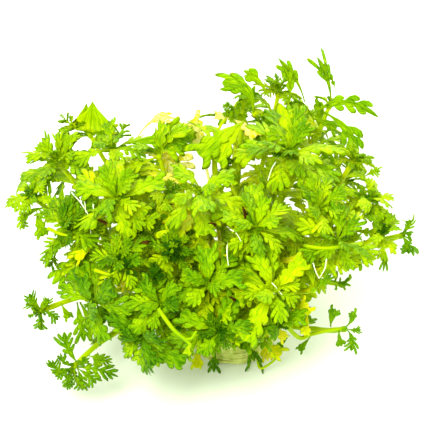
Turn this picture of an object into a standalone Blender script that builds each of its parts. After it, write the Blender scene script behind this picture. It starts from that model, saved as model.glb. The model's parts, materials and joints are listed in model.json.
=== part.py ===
"""A water violet in its emersed form: a round, loose bush of leafy shoots on a disc of matted roots.

Lengths are in millimetres up to the point where a mesh is made, and metres in the meshes.
X runs to the viewer's right, Y away from the viewer and Z up. The origin is the centre of the
root mat's flat underside, which rests on the ground.

Main shoots are a bare stem and the crown of leaves at its tip, two pieces each. Side shoots are
one piece, stalk and crown together. A few single leaves rise or hang clear of the crowns.
"""

import math

import bmesh
import bpy
import numpy as np
from mathutils import Vector

MM = 0.001
GAP = 0.3
UP = np.array([0.0, 0.0, 1.0])
ALONG_X = np.array([1.0, 0.0, 0.0])
SEED = 7

# The round bush that the shoots spread into
DOME_CENTRE = np.array([-8.0, 8.0, 50.0])
DOME_RADII = np.array([75.0, 62.0, 40.0])

# The root mat: the rings that the roots lie in stand out between grooves
MAT_RADIUS = 16.5
MAT_HEIGHT = 11.0
MAT_TOP_RADIUS = 14.5
MAT_EDGE = 0.6
MAT_RINGS = 4
RING_PITCH = 2.1
RING_DEPTH = 0.9
RING_TAPER = 0.3
MAT_STEPS = 20
WELD = 0.001

# Stems, and the stalks of the side shoots
STEM_SIDES = 5
STEM_RINGS = 6
STEM_FOOT_RADIUS = 1.15
STEM_TIP_RADIUS = 0.75

# A shoot's curve, as shares of the way from its foot to its crown
RISE_OF_SPAN = 0.30
RISE_OF_HEIGHT = 0.22
AIM_OF_SPAN = 0.33

# A shoot that runs out low over the ground: its upward lean, and its rise as a share of the others'
LOW_RUNNERS = {"low_right": (1.4, 0.3)}

# Feet on the root mat, pushed apart from each other until they stand clear
FOOT_SPACING = 3.1
FOOT_REACH = 13.2
FOOT_SHARE = 0.2
PUSH = 0.3
PUSHES = 400

# A crown's hub, from its foot ring to its top ring
HUB_SIDES = 4
HUB_RADII = (1.0, 1.5, 0.9)
HUB_RISE = 1.4
HUB_ROOTING = 0.7
UPWARD_LEAN = 0.55

# A leaf's outline: places along it and half widths there, both as shares of its length
BROAD_LEAF = ((0.28, 0.05), (0.52, 0.24), (0.64, 0.16), (0.86, 0.30), (1.0, 0.12))
FINE_LEAF = ((0.26, 0.05), (0.48, 0.19), (0.60, 0.10), (0.83, 0.21), (1.0, 0.06))
INNER_LEAF = ((0.66, 0.28), (1.0, 0.10))
INNER_SHARE = 0.62
LEAF_DEPTH = 0.75
LEAF_CUP = 0.30

# Angles above the crown's own level at which a leaf starts and ends, in degrees
OUTER_PITCH = (38.0, -28.0)
INNER_PITCH = (72.0, 38.0)
PITCH_SPREAD = 8.0
LENGTH_SPREAD = (0.88, 1.08)

# How a leaf gives way to its neighbours
LEAST_SHARE = 0.30
SHRINK = 0.94
LOWEST_LEAF = 0.3
ROUTE_SAMPLES = 60
BLADE_SAMPLES = 18

BROAD = "broad"
FINE = "fine"

# Main shoots: name, place of the crown, reach of its leaves, form of its leaves
SHOOTS = (
    ("top_front", (20, 3, 85), 18, BROAD),
    ("top_back", (17, 48, 79), 10, FINE),
    ("upper_right", (36, 42, 78), 15, BROAD),
    ("back_top", (4, 43, 80), 13, BROAD),
    ("right_middle", (49, -6, 71), 11, FINE),
    ("right_front", (37, -29, 71), 15, BROAD),
    ("front_right", (14, -47, 64), 17, BROAD),
    ("centre_right", (8, -31, 79), 16, BROAD),
    ("centre", (-12, -19, 86), 17, BROAD),
    ("top_left", (-27, 5, 84), 16, BROAD),
    ("far_left_back", (-53, 30, 74), 13, BROAD),
    ("left_upper", (-42, -17, 81), 17, BROAD),
    ("left_edge", (-73, -2, 70), 10, FINE),
    ("front_dark", (-22, -34, 71), 11, FINE),
    ("left_low", (-32, -51, 46), 15, BROAD),
    ("front", (-9, -47, 66), 16, BROAD),
)

# Side shoots: name, place of the crown, reach of its leaves, form of its leaves
SPRIGS = (
    ("right_upper", (44, 10, 77), 9, FINE),
    ("right_low", (54, -17, 65), 9, FINE),
    ("right_edge", (62, -8, 57), 5, FINE),
    ("right_inner", (31, -19, 78), 12, BROAD),
    ("right_lower", (29, -42, 60), 13, BROAD),
    ("top_middle", (-7, 9, 85), 15, BROAD),
    ("upper_left", (-44, 11, 82), 13, BROAD),
    ("left_back", (-64, 15, 72), 13, BROAD),
    ("left_middle", (-59, -20, 69), 11, FINE),
    ("left_high", (-40, -38, 70), 15, BROAD),
    ("left_front", (-50, -42, 54), 16, BROAD),
    ("front_left", (-26, -50, 60), 15, BROAD),
    ("front_low", (-6, -54, 52), 15, BROAD),
    ("front_low_right", (16, -49, 49), 12, BROAD),
    ("left", (-70, -27, 37), 8, FINE),
    ("low_left", (-58, -43, 24), 10, FINE),
    ("low_right", (41, -27, 28), 8, FINE),
    ("right_small", (40, -23, 46), 7, FINE),
    ("back_left", (-56, 44, 48), 15, BROAD),
    ("back_low", (-27, 58, 38), 15, BROAD),
    ("back_middle", (2, 66, 50), 13, BROAD),
    ("back_right", (31, 60, 48), 15, BROAD),
    ("back_far_right", (42, 38, 44), 12, BROAD),
)

# Single leaves: name, tip, the way the tip points, the blade's own sideways direction, half width
SINGLE_LEAVES = (
    ("tall_middle", (17, 45, 97.5), (-0.45, 0.05, 0.9), (0.9, 0.0, 0.45), 2.8),
    ("pale_back", (-16, 24, 86), (-0.3, -0.2, 0.9), (0.9, -0.4, 0.2), 3.8),
    ("hanging_dark", (-7, -21, 1.0), (0.0, -0.3, -1.0), (1.0, -0.3, 0.0), 3.2),
    ("hanging_yellow", (13, -19, 4.5), (0.2, -0.4, -0.9), (0.8, 0.6, 0.0), 3.2),
)
SINGLE_RINGS = 6
BLADE_SHARE = 0.30
BLADE_OUTLINE = ((0.30, 0.85), (0.50, 0.55), (0.78, 1.0), (1.0, 0.25))
PETIOLE_HALF_WIDTH = 0.7
RISING_OF_SPAN = 0.4
CLOSING_OF_SPAN = 0.25
HANGING_RISE = 9.0
HANGING_DROP = 13.0

COLOURS = {
    "root": (0.62, 0.68, 0.22),
    "stem": (0.36, 0.62, 0.06),
    BROAD: (0.26, 0.56, 0.01),
    FINE: (0.12, 0.36, 0.01),
    "single": (0.48, 0.62, 0.02),
}
ROUGHNESS = 0.45


def unit(vector):
    return vector / np.linalg.norm(vector)


def clear_scene():
    for obj in list(bpy.data.objects):
        bpy.data.objects.remove(obj, do_unlink=True)


def finish_object(name, bm, colour):
    """Turn a bmesh in millimetres into a named object in metres with its own material."""
    for vert in bm.verts:
        vert.co *= MM
    mesh = bpy.data.meshes.new(name)
    bm.to_mesh(mesh)
    bm.free()
    material = bpy.data.materials.new(name)
    material.use_nodes = True
    shader = material.node_tree.nodes["Principled BSDF"]
    shader.inputs["Base Color"].default_value = (*COLOURS[colour], 1.0)
    shader.inputs["Roughness"].default_value = ROUGHNESS
    shader.inputs["Metallic"].default_value = 0.0
    mesh.materials.append(material)
    bpy.context.scene.collection.objects.link(bpy.data.objects.new(name, mesh))


def grow(bm, face, sections):
    """Extrude a face through sections, each with one place for each of the face's corners."""
    for section in sections:
        corners = [vert.co.copy() for vert in face.verts]
        face = bmesh.ops.extrude_discrete_faces(bm, faces=[face])["faces"][0]
        for vert in face.verts:
            nearest = min(range(len(corners)), key=lambda k: (corners[k] - vert.co).length)
            vert.co = Vector(section[nearest])


def prism(bm, low, high):
    """A closed prism between two polygons. Returns the face on the second, ready to grow."""
    first = [bm.verts.new(Vector(place)) for place in low]
    last = [bm.verts.new(Vector(place)) for place in high]
    bm.faces.new(first[::-1])
    for i in range(len(first)):
        j = (i + 1) % len(first)
        bm.faces.new((first[i], first[j], last[j], last[i]))
    return bm.faces.new(last)


def levelled(section, height):
    """A section laid flat at one height, so that it stands square on the root mat."""
    return [np.array([x, y, height]) for x, y, _ in section]


# Where the shoots stand and how they run

def crown_axis(name, place):
    """A crown looks outwards from the bush, and leans up towards the light."""
    outwards = unit((place - DOME_CENTRE) / DOME_RADII**2)
    lean, _ = LOW_RUNNERS.get(name, (UPWARD_LEAN, 1.0))
    return unit(outwards + lean * UP)


def spread_feet(places, rim_tips):
    """Where each shoot stands on the root mat: on its crown's side, and apart from the rest.

    A leaf that hangs over the mat's edge stands at the rim instead, on the side of its tip.
    """
    feet = [np.array(place[:2]) * FOOT_SHARE for place in places]
    feet += [unit(tip[:2]) * FOOT_REACH for tip in rim_tips]
    feet = np.array(feet)
    for _ in range(PUSHES):
        for i in range(len(places)):
            away = feet[i] - feet
            distance = np.linalg.norm(away, axis=1)
            distance[i] = FOOT_SPACING
            lack = np.clip(FOOT_SPACING - distance, 0.0, None)
            feet[i] += PUSH * (away * (lack / distance)[:, None]).sum(axis=0)
            feet[i] *= min(1.0, FOOT_REACH / np.linalg.norm(feet[i]))
    return np.column_stack([feet, np.full(len(feet), MAT_HEIGHT + GAP)])


def bezier(points, share):
    """Places on a cubic curve at the given shares of its run."""
    a, b, c, d = points
    share = np.asarray(share)[:, None]
    rest = 1.0 - share
    return rest**3 * a + 3 * rest**2 * share * b + 3 * rest * share**2 * c + share**3 * d


def shoot_curve(name, foot, tip, axis):
    """A curve that leaves the mat straight up and meets the crown along the crown's axis."""
    span = np.linalg.norm(tip - foot)
    _, share = LOW_RUNNERS.get(name, (UPWARD_LEAN, 1.0))
    rise = share * (RISE_OF_SPAN * span + RISE_OF_HEIGHT * (tip[2] - foot[2]))
    return foot, foot + rise * UP, tip - AIM_OF_SPAN * span * axis, tip


def single_curve(foot, tip, lean):
    """A leaf on its own stalk: up from the mat to its tip, or over the rim and down."""
    lean = unit(np.array(lean))
    if tip[2] < MAT_HEIGHT:
        return foot, foot + HANGING_RISE * UP, tip - HANGING_DROP * lean, tip
    span = np.linalg.norm(tip - foot)
    return foot, foot + RISING_OF_SPAN * span * UP, tip - CLOSING_OF_SPAN * span * lean, tip


def tube_sections(route, radii, sides, first_side):
    """Round sections along a route, anticlockwise as seen from its far end, without twist."""
    tangents = np.gradient(route, axis=0)
    tangents /= np.linalg.norm(tangents, axis=1)[:, None]
    turns = [math.tau * k / sides for k in range(sides)]
    side = first_side
    sections = []
    for centre, radius, tangent in zip(route, radii, tangents):
        side = unit(side - tangent * side.dot(tangent))
        other = np.cross(tangent, side)
        sections.append([centre + radius * (math.cos(t) * side + math.sin(t) * other) for t in turns])
    return sections


# The room that each crown may fill

class Room:
    """Each crown's own share of the bush, clear of the stems and leaves that pass through."""

    def __init__(self, names, places, reaches, obstacles):
        self.index = {name: k for k, name in enumerate(names)}
        self.places = np.array(places)
        self.reaches = np.array(reaches, float)
        self.obstacles = obstacles

    def within_walls(self, own, points):
        """True where the points stay on the crown's side of the wall to each other crown."""
        for other in range(len(self.places)):
            if other == own:
                continue
            towards = self.places[other] - self.places[own]
            distance = np.linalg.norm(towards)
            difference = self.reaches[own] ** 2 - self.reaches[other] ** 2
            wall = (distance + difference / distance) / 2 - GAP
            if ((points - self.places[own]) @ (towards / distance)).max() > wall:
                return False
        return True

    def clear_of_routes(self, name, points):
        """True where the points stay clear of every other shoot's stem and of single leaves."""
        for owner, route, radius in self.obstacles:
            distances = np.linalg.norm(points[:, None] - route[None], axis=2)
            if owner != name and distances.min() < radius + GAP + LEAF_DEPTH:
                return False
        return True

    def fit(self, name, make):
        """The largest of ever smaller leaves that stays in the crown's own space."""
        share = 1.0
        while share > LEAST_SHARE:
            corners = np.array(make(share))
            middles = (corners[1:] + corners[:-1]) / 2
            points = np.concatenate([corners, middles]).reshape(-1, 3)
            above_ground = points[:, 2].min() > LOWEST_LEAF
            own = self.index[name]
            if above_ground and self.within_walls(own, points) and self.clear_of_routes(name, points):
                break
            share *= SHRINK
        return make(share)


# Crowns

def leaf_sections(base, out, axis, length, pitch, outline):
    """Triangular sections of an arching leaf: a keel below and the two edges, cupped upwards."""
    start, end = (math.radians(angle) for angle in pitch)
    bend = end - start
    side = np.cross(axis, out)
    sections = []
    for share, half_width in outline:
        angle = start + bend * share
        along = (math.sin(angle) - math.sin(start)) / bend
        above = (math.cos(start) - math.cos(angle)) / bend
        normal = math.cos(angle) * axis - math.sin(angle) * out
        middle = base + length * (along * out + above * axis)
        edge = half_width * length
        rim = middle + LEAF_CUP * edge * normal
        sections.append((middle - LEAF_DEPTH * normal, rim + edge * side, rim - edge * side))
    return sections


def build_hub(bm, place, axis, first_side, phase):
    """A small drum of triangles. Returns its foot face, and the faces that the leaves grow from."""
    across = np.cross(axis, first_side)
    rings = []
    for level, radius in enumerate(HUB_RADII):
        ring = []
        for k in range(HUB_SIDES):
            turn = phase + math.tau * (k + level / 2) / HUB_SIDES
            offset = radius * (math.cos(turn) * first_side + math.sin(turn) * across)
            ring.append(bm.verts.new(Vector(place + offset + level * HUB_RISE * axis)))
        rings.append(ring)
    foot = bm.faces.new(rings[0][::-1])
    bm.faces.new(rings[2])
    tiers = []
    for low, high in zip(rings, rings[1:]):
        tiers.append([bm.faces.new((low[k], high[k], high[k - 1])) for k in range(HUB_SIDES)])
        for k in range(HUB_SIDES):
            bm.faces.new((low[k], low[(k + 1) % HUB_SIDES], high[k]))
    return foot, tiers


def build_crown(bm, name, place, axis, reach, form, room, random):
    """Hub, outer leaves and inner leaves as one closed surface. Returns the hub's foot face."""
    first_side = unit(np.cross(axis, UP + ALONG_X))
    across = np.cross(axis, first_side)
    phase = random.uniform(0.0, math.tau)
    foot, (outer, inner) = build_hub(bm, place, axis, first_side, phase)
    outline = BROAD_LEAF if form == BROAD else FINE_LEAF
    tiers = (
        (outer, 1, reach, OUTER_PITCH, outline),
        (inner, 2, reach * INNER_SHARE, INNER_PITCH, INNER_LEAF),
    )
    for faces, level, length, pitch, shape in tiers:
        for k, face in enumerate(faces):
            turn = phase + math.tau * (k + (level - 1) / 2) / HUB_SIDES
            out = math.cos(turn) * first_side + math.sin(turn) * across
            base = place + level * HUB_RISE * axis + HUB_RADII[level] * HUB_ROOTING * out
            wanted = length * random.uniform(*LENGTH_SPREAD)
            tilt = random.uniform(-PITCH_SPREAD, PITCH_SPREAD)
            angles = (pitch[0] + tilt, pitch[1] + tilt)

            def make(share):
                return leaf_sections(base, out, axis, wanted * share, angles, shape)

            grow(bm, face, room.fit(name, make))
    return foot


# The pieces

def build_root_mat():
    """A turned disc: flat below, ringed round the side where the roots lie, flat on top."""
    profile = [(0.0, 0.0), (MAT_RADIUS - MAT_EDGE, 0.0)]
    for ring in range(MAT_RINGS):
        outer = MAT_RADIUS - RING_TAPER * ring
        low = RING_PITCH * ring
        profile.append((outer, low + RING_PITCH / 3))
        profile.append((outer, low + RING_PITCH * 2 / 3))
        profile.append((outer - RING_DEPTH, low + RING_PITCH))
    profile += [(MAT_TOP_RADIUS, MAT_HEIGHT), (0.0, MAT_HEIGHT)]
    bm = bmesh.new()
    verts = [bm.verts.new((radius, 0.0, height)) for radius, height in profile]
    edges = [bm.edges.new(pair) for pair in zip(verts, verts[1:])]
    bmesh.ops.spin(
        bm,
        geom=verts + edges,
        cent=(0.0, 0.0, 0.0),
        axis=UP,
        angle=math.tau,
        steps=MAT_STEPS,
        use_merge=True,
    )
    bmesh.ops.remove_doubles(bm, verts=bm.verts, dist=WELD)
    bmesh.ops.recalc_face_normals(bm, faces=bm.faces)
    finish_object("root_mat", bm, "root")


def build_stem(name, curve):
    """A tapered stem from the root mat to just under its crown."""
    route = bezier(curve, np.linspace(0.0, 1.0, STEM_RINGS))
    radii = np.linspace(STEM_FOOT_RADIUS, STEM_TIP_RADIUS, STEM_RINGS)
    sections = tube_sections(route, radii, STEM_SIDES, ALONG_X)
    bm = bmesh.new()
    grow(bm, prism(bm, levelled(sections[0], route[0][2]), sections[1]), sections[2:])
    finish_object("stem_" + name, bm, "stem")


def build_sprig(name, place, axis, reach, form, curve, room, random):
    """A crown whose hub runs on down into its own thin stalk, to the root mat."""
    bm = bmesh.new()
    foot = build_crown(bm, name, place, axis, reach, form, room, random)
    route = bezier(curve, np.linspace(1.0, 0.0, STEM_RINGS))
    radii = np.linspace(STEM_TIP_RADIUS, STEM_FOOT_RADIUS, STEM_RINGS)
    first_side = unit(np.array(foot.verts[0].co) - place)
    sections = tube_sections(route, radii, HUB_SIDES, first_side)
    grow(bm, foot, [*sections[1:-1], levelled(sections[-1], route[-1][2])])
    finish_object("sprig_" + name, bm, form)


def build_single_leaf(name, curve, side, half_width):
    """A long stalk and a lobed blade, with triangular sections: a keel and two edges."""
    side = unit(np.array(side))
    stalk = np.linspace(0.0, 1.0 - BLADE_SHARE, SINGLE_RINGS)
    blade = [1.0 - BLADE_SHARE + BLADE_SHARE * share for share, _ in BLADE_OUTLINE]
    widths = [PETIOLE_HALF_WIDTH] * SINGLE_RINGS + [half_width * share for _, share in BLADE_OUTLINE]
    route = bezier(curve, np.concatenate([stalk, blade]))
    sections = []
    for place, tangent, width in zip(route, np.gradient(route, axis=0), widths):
        normal = unit(np.cross(side, tangent))
        across = unit(np.cross(tangent, normal))
        keel = place - LEAF_DEPTH * normal
        sections.append([keel, place + width * across, place - width * across])
    bm = bmesh.new()
    grow(bm, prism(bm, levelled(sections[0], route[0][2]), sections[1]), sections[2:])
    bmesh.ops.recalc_face_normals(bm, faces=bm.faces)
    finish_object("leaf_" + name, bm, "single")


def main():
    clear_scene()
    random = np.random.default_rng(SEED)
    shoots = [(*row, True) for row in SHOOTS] + [(*row, False) for row in SPRIGS]
    places = [np.array(row[1], float) for row in shoots]
    axes = [crown_axis(row[0], place) for row, place in zip(shoots, places)]
    tips = [np.array(row[1], float) for row in SINGLE_LEAVES]
    rising = [tip for tip in tips if tip[2] > MAT_HEIGHT]
    hanging = [tip for tip in tips if tip[2] <= MAT_HEIGHT]
    feet = spread_feet(places + rising, hanging)

    samples = np.linspace(0.0, 1.0, ROUTE_SAMPLES)
    curves = {}
    obstacles = []
    for (name, _, _, _, bare), place, foot, axis in zip(shoots, places, feet, axes):
        curves[name] = shoot_curve(name, foot, place - GAP * axis if bare else place, axis)
        obstacles.append((name, bezier(curves[name], samples), STEM_FOOT_RADIUS))
    single_feet = feet[len(places):]
    for (name, _, lean, _, half_width), tip, foot in zip(SINGLE_LEAVES, tips, single_feet):
        curves[name] = single_curve(foot, tip, lean)
        route = bezier(curves[name], samples)
        obstacles.append((name, route[:-BLADE_SAMPLES], PETIOLE_HALF_WIDTH))
        obstacles.append((name, route[-BLADE_SAMPLES:], half_width))
    room = Room([row[0] for row in shoots], places, [row[2] for row in shoots], obstacles)

    build_root_mat()
    for (name, _, reach, form, bare), place, axis in zip(shoots, places, axes):
        if bare:
            build_stem(name, curves[name])
            bm = bmesh.new()
            build_crown(bm, name, place, axis, reach, form, room, random)
            finish_object("crown_" + name, bm, form)
        else:
            build_sprig(name, place, axis, reach, form, curves[name], room, random)
    for name, _, _, side, half_width in SINGLE_LEAVES:
        build_single_leaf(name, curves[name], side, half_width)


main()
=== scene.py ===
"""The looks of the water violet: lobed leaves, juicy stems, matted roots, and a bright studio.

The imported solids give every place: where each shoot stands, the run of its stem, the seat and the
tilt of its crown, and how far its leaves reach. The leaves, stems and roots made here stand where
those solids are. Lengths are in metres, and sizes and places that read in millimetres meet MM.
"""

import json
import logging
import math
from dataclasses import dataclass, field
from enum import Enum

import bpy
import numpy as np
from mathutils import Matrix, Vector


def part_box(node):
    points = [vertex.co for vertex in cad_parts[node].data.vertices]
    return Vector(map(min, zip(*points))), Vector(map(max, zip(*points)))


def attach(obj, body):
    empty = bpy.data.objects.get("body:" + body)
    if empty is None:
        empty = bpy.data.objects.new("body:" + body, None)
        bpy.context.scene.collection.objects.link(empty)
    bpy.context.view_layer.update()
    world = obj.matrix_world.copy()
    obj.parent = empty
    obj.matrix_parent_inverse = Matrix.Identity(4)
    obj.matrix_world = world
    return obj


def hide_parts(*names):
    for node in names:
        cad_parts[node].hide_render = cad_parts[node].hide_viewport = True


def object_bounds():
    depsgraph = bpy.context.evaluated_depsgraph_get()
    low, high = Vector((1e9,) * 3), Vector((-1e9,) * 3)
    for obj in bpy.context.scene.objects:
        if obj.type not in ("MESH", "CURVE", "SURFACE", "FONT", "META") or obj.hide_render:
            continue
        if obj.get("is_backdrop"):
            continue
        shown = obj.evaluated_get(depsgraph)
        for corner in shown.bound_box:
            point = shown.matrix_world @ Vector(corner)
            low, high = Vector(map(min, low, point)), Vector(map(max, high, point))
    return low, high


Pair = tuple[float, float]
Place = tuple[float, float, float]
Random = np.random.Generator

MM = 0.001
GOLDEN_ANGLE = math.radians(137.508)
UP = np.array([0.0, 0.0, 1.0])
TOWARDS_EYE = np.array([0.0, -0.766, 0.643])
BODY = "root"
SEED = 11
MAT_TOP = 11.3 * MM
LOG = logging.getLogger("water_violet")

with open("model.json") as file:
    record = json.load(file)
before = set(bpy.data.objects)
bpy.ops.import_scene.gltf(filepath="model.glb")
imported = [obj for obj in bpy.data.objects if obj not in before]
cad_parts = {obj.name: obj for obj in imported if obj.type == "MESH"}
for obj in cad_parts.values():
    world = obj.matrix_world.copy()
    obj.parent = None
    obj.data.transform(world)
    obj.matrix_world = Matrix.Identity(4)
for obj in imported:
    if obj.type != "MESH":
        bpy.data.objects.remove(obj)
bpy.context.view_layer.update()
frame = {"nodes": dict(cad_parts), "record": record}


def unit(vectors: np.ndarray) -> np.ndarray:
    """Vectors of length one, along the last axis."""
    return vectors / np.linalg.norm(vectors, axis=-1, keepdims=True)


def blend(ends: Pair, share: float | np.ndarray) -> float | np.ndarray:
    """The value at a share of the way from the first end to the second."""
    return ends[0] + (ends[1] - ends[0]) * share


def smooth(values: np.ndarray, start: float, end: float) -> np.ndarray:
    """Zero below start, one above end, and the curve 3x^2 - 2x^3 between them."""
    x = np.clip((values - start) / (end - start), 0.0, 1.0)
    return x * x * (3.0 - 2.0 * x)


def around(axis: np.ndarray, guide: Place, turn: float) -> np.ndarray:
    """The direction square to an axis at a turn about it, from the axis's cross with a guide."""
    first = unit(np.cross(axis, guide))
    return math.cos(turn) * first + math.sin(turn) * np.cross(axis, first)


def spline(places: np.ndarray, count: int) -> np.ndarray:
    """A smooth curve through places, by the Catmull-Rom rule.

    Args:
        places: the places that it passes, shape (n, 3).
        count: how many points to give.

    Returns:
        Points along the curve, shape (count, 3).
    """
    padded = np.concatenate([2 * places[:1] - places[1:2], places, 2 * places[-1:] - places[-2:-1]])
    share = np.linspace(0.0, len(places) - 1 - 1e-9, count)
    index = share.astype(int)
    t = (share - index)[:, None]
    a, b, c, d = (padded[index + k] for k in range(4))
    return 0.5 * (2 * b + (c - a) * t + (2 * a - 5 * b + 4 * c - d) * t**2 + (3 * b - a - 3 * c + d) * t**3)


class Tissue(float, Enum):
    """What a surface is made of, as the leaf finish reads it from the tone attribute."""

    GREEN = 0.50
    STALK = 0.78
    YELLOW = 0.94


@dataclass
class Skin:
    """Closed swept surfaces gathered into one mesh: points, faces, places on the UV map and tones."""

    points: list[np.ndarray] = field(default_factory=list)
    faces: list[np.ndarray] = field(default_factory=list)
    marks: list[np.ndarray] = field(default_factory=list)
    tones: list[np.ndarray] = field(default_factory=list)
    count: int = 0

    def sweep(self, grid: np.ndarray, marks: np.ndarray, tones: np.ndarray) -> None:
        """Add one surface: rings of points joined ring to ring, each end closed by a strip of faces.

        The face between ring i and ring i + 1 at corner k joins the corners k and k + 1 of both.
        Rings run clockwise as seen from the start of the path, so that faces look outwards.

        Args:
            grid: points, shape (rings, corners, 3), with an even number of corners.
            marks: place across and place along for each point, shape (rings, corners, 2).
            tones: tone of each point, shape (rings, corners).
        """
        rings, corners = grid.shape[:2]
        index = np.arange(rings * corners).reshape(rings, corners) + self.count
        turned = np.roll(index, -1, axis=1)
        sides = np.stack([index[:-1], turned[:-1], turned[1:], index[1:]], axis=-1)
        i = np.arange(corners // 2 - 1)
        strip = np.stack([i, i + 1, corners - 2 - i, corners - 1 - i], axis=-1)
        self.faces += [sides.reshape(-1, 4), index[0][strip][:, ::-1], index[-1][strip]]
        self.points.append(grid.reshape(-1, 3))
        self.marks.append(marks.reshape(-1, 2))
        self.tones.append(tones.reshape(-1))
        self.count += rings * corners

    def build(self, name: str, slot: str, finish: bpy.types.Material, *replaced: str) -> None:
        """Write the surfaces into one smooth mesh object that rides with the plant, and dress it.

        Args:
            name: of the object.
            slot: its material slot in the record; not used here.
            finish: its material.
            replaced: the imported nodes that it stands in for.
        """
        points, marks, tones = (
            np.concatenate(parts).astype(np.float32) for parts in (self.points, self.marks, self.tones)
        )
        faces = np.concatenate(self.faces).astype(np.int32)
        mesh = bpy.data.meshes.new(name)
        mesh.vertices.add(len(points))
        mesh.vertices.foreach_set("co", points.ravel())
        mesh.loops.add(faces.size)
        mesh.loops.foreach_set("vertex_index", faces.ravel())
        mesh.polygons.add(len(faces))
        mesh.polygons.foreach_set("loop_start", np.arange(0, faces.size, 4, dtype=np.int32))
        mesh.polygons.foreach_set("use_smooth", np.ones(len(faces), dtype=bool))
        mesh.update(calc_edges=True)
        mesh.uv_layers.new(name="leaf").data.foreach_set("uv", marks[faces.ravel()].ravel())
        mesh.attributes.new("tone", "FLOAT", "POINT").data.foreach_set("value", tones)
        mesh.validate()
        made = bpy.data.objects.new(name, mesh)
        bpy.context.scene.collection.objects.link(made)
        if replaced:
            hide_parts(*replaced)
        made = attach(made, BODY)
        made.data.materials.append(finish)
        LOG.info("%s: %d faces", name, len(faces))


@dataclass(frozen=True)
class LeafShape:
    """How a leaf is cut. Places and lengths are shares of the leaf's length.

    Attributes:
        lobes: how far each side lobe stands out, from the lowest pair up.
        start: where the first lobe starts.
        stop: where the end lobe starts.
        webs: half widths of the blade at those two places.
        sweep: forward lean of the lowest and the highest lobes, by their distance out.
        petiole: half width of the stalk at its foot.
        blunt: power of a lobe's outline, larger for a blunter one.
        fill: share of its own stretch of the edge that a lobe takes up.
        close: power that closes the end lobe, 0.5 for round and 1 for pointed.
        cup: rise of the edges, by their distance out.
        wave: rise and dip of the lobes in turn, likewise.
        steps: rings of points for each lobe.
        fine: True where the section has fewer points.
    """

    lobes: tuple[float, ...]
    start: float
    stop: float
    webs: Pair
    sweep: Pair
    petiole: float = 0.022
    blunt: float = 2.6
    fill: float = 0.90
    close: float = 0.5
    cup: float = 0.22
    wave: float = 0.12
    steps: int = 8
    fine: bool = False


class LeafForm(Enum):
    """The kinds of leaf on the plant."""

    BROAD = LeafShape((0.20, 0.29, 0.22), 0.30, 0.77, (0.075, 0.068), (0.80, 1.60), blunt=2.2, fill=0.76)
    HAND = LeafShape((0.24, 0.25), 0.38, 0.74, (0.080, 0.072), (1.00, 1.70), 0.026, 2.3, 0.80)
    FAN = LeafShape((0.17, 0.26, 0.31), 0.36, 0.88, (0.110, 0.210), (0.60, 1.20), 0.030, fill=0.86)
    SPADE = LeafShape((0.22, 0.21), 0.46, 0.80, (0.125, 0.110), (1.20, 1.70), 0.030, 2.4, 0.86)
    TRIDENT = LeafShape((0.24,), 0.46, 0.78, (0.090, 0.085), (1.30, 1.30), 0.030, fill=0.86, cup=0.10)
    LONG = LeafShape((0.15, 0.19), 0.34, 0.66, (0.040, 0.055), (2.60, 3.00), 0.020, 2.0, 0.62, 0.7, 0.12)
    WEDGE = LeafShape((0.22, 0.28, 0.27), 0.34, 0.82, (0.145, 0.150), (0.60, 1.30), 0.024, 2.4, 0.86)
    SPRAY = LeafShape((0.22, 0.24), 0.24, 0.74, (0.070, 0.070), (0.90, 1.40), 0.030, fill=0.80,
                      steps=6, fine=True)
    TENT = LeafShape((0.64,), 0.04, 0.08, (0.60, 0.62), (0.0, 0.0), 0.55, fill=1.0, close=2.2, cup=0.30)
    FINE = LeafShape((0.16, 0.24, 0.25, 0.17), 0.16, 0.80, (0.038, 0.036), (0.70, 1.60), 0.026,
                     1.9, 0.72, cup=0.30, wave=0.20, steps=6, fine=True)


BROAD, HAND, FAN, SPADE, TRIDENT, LONG, WEDGE, SPRAY, TENT, FINE = LeafForm


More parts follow.
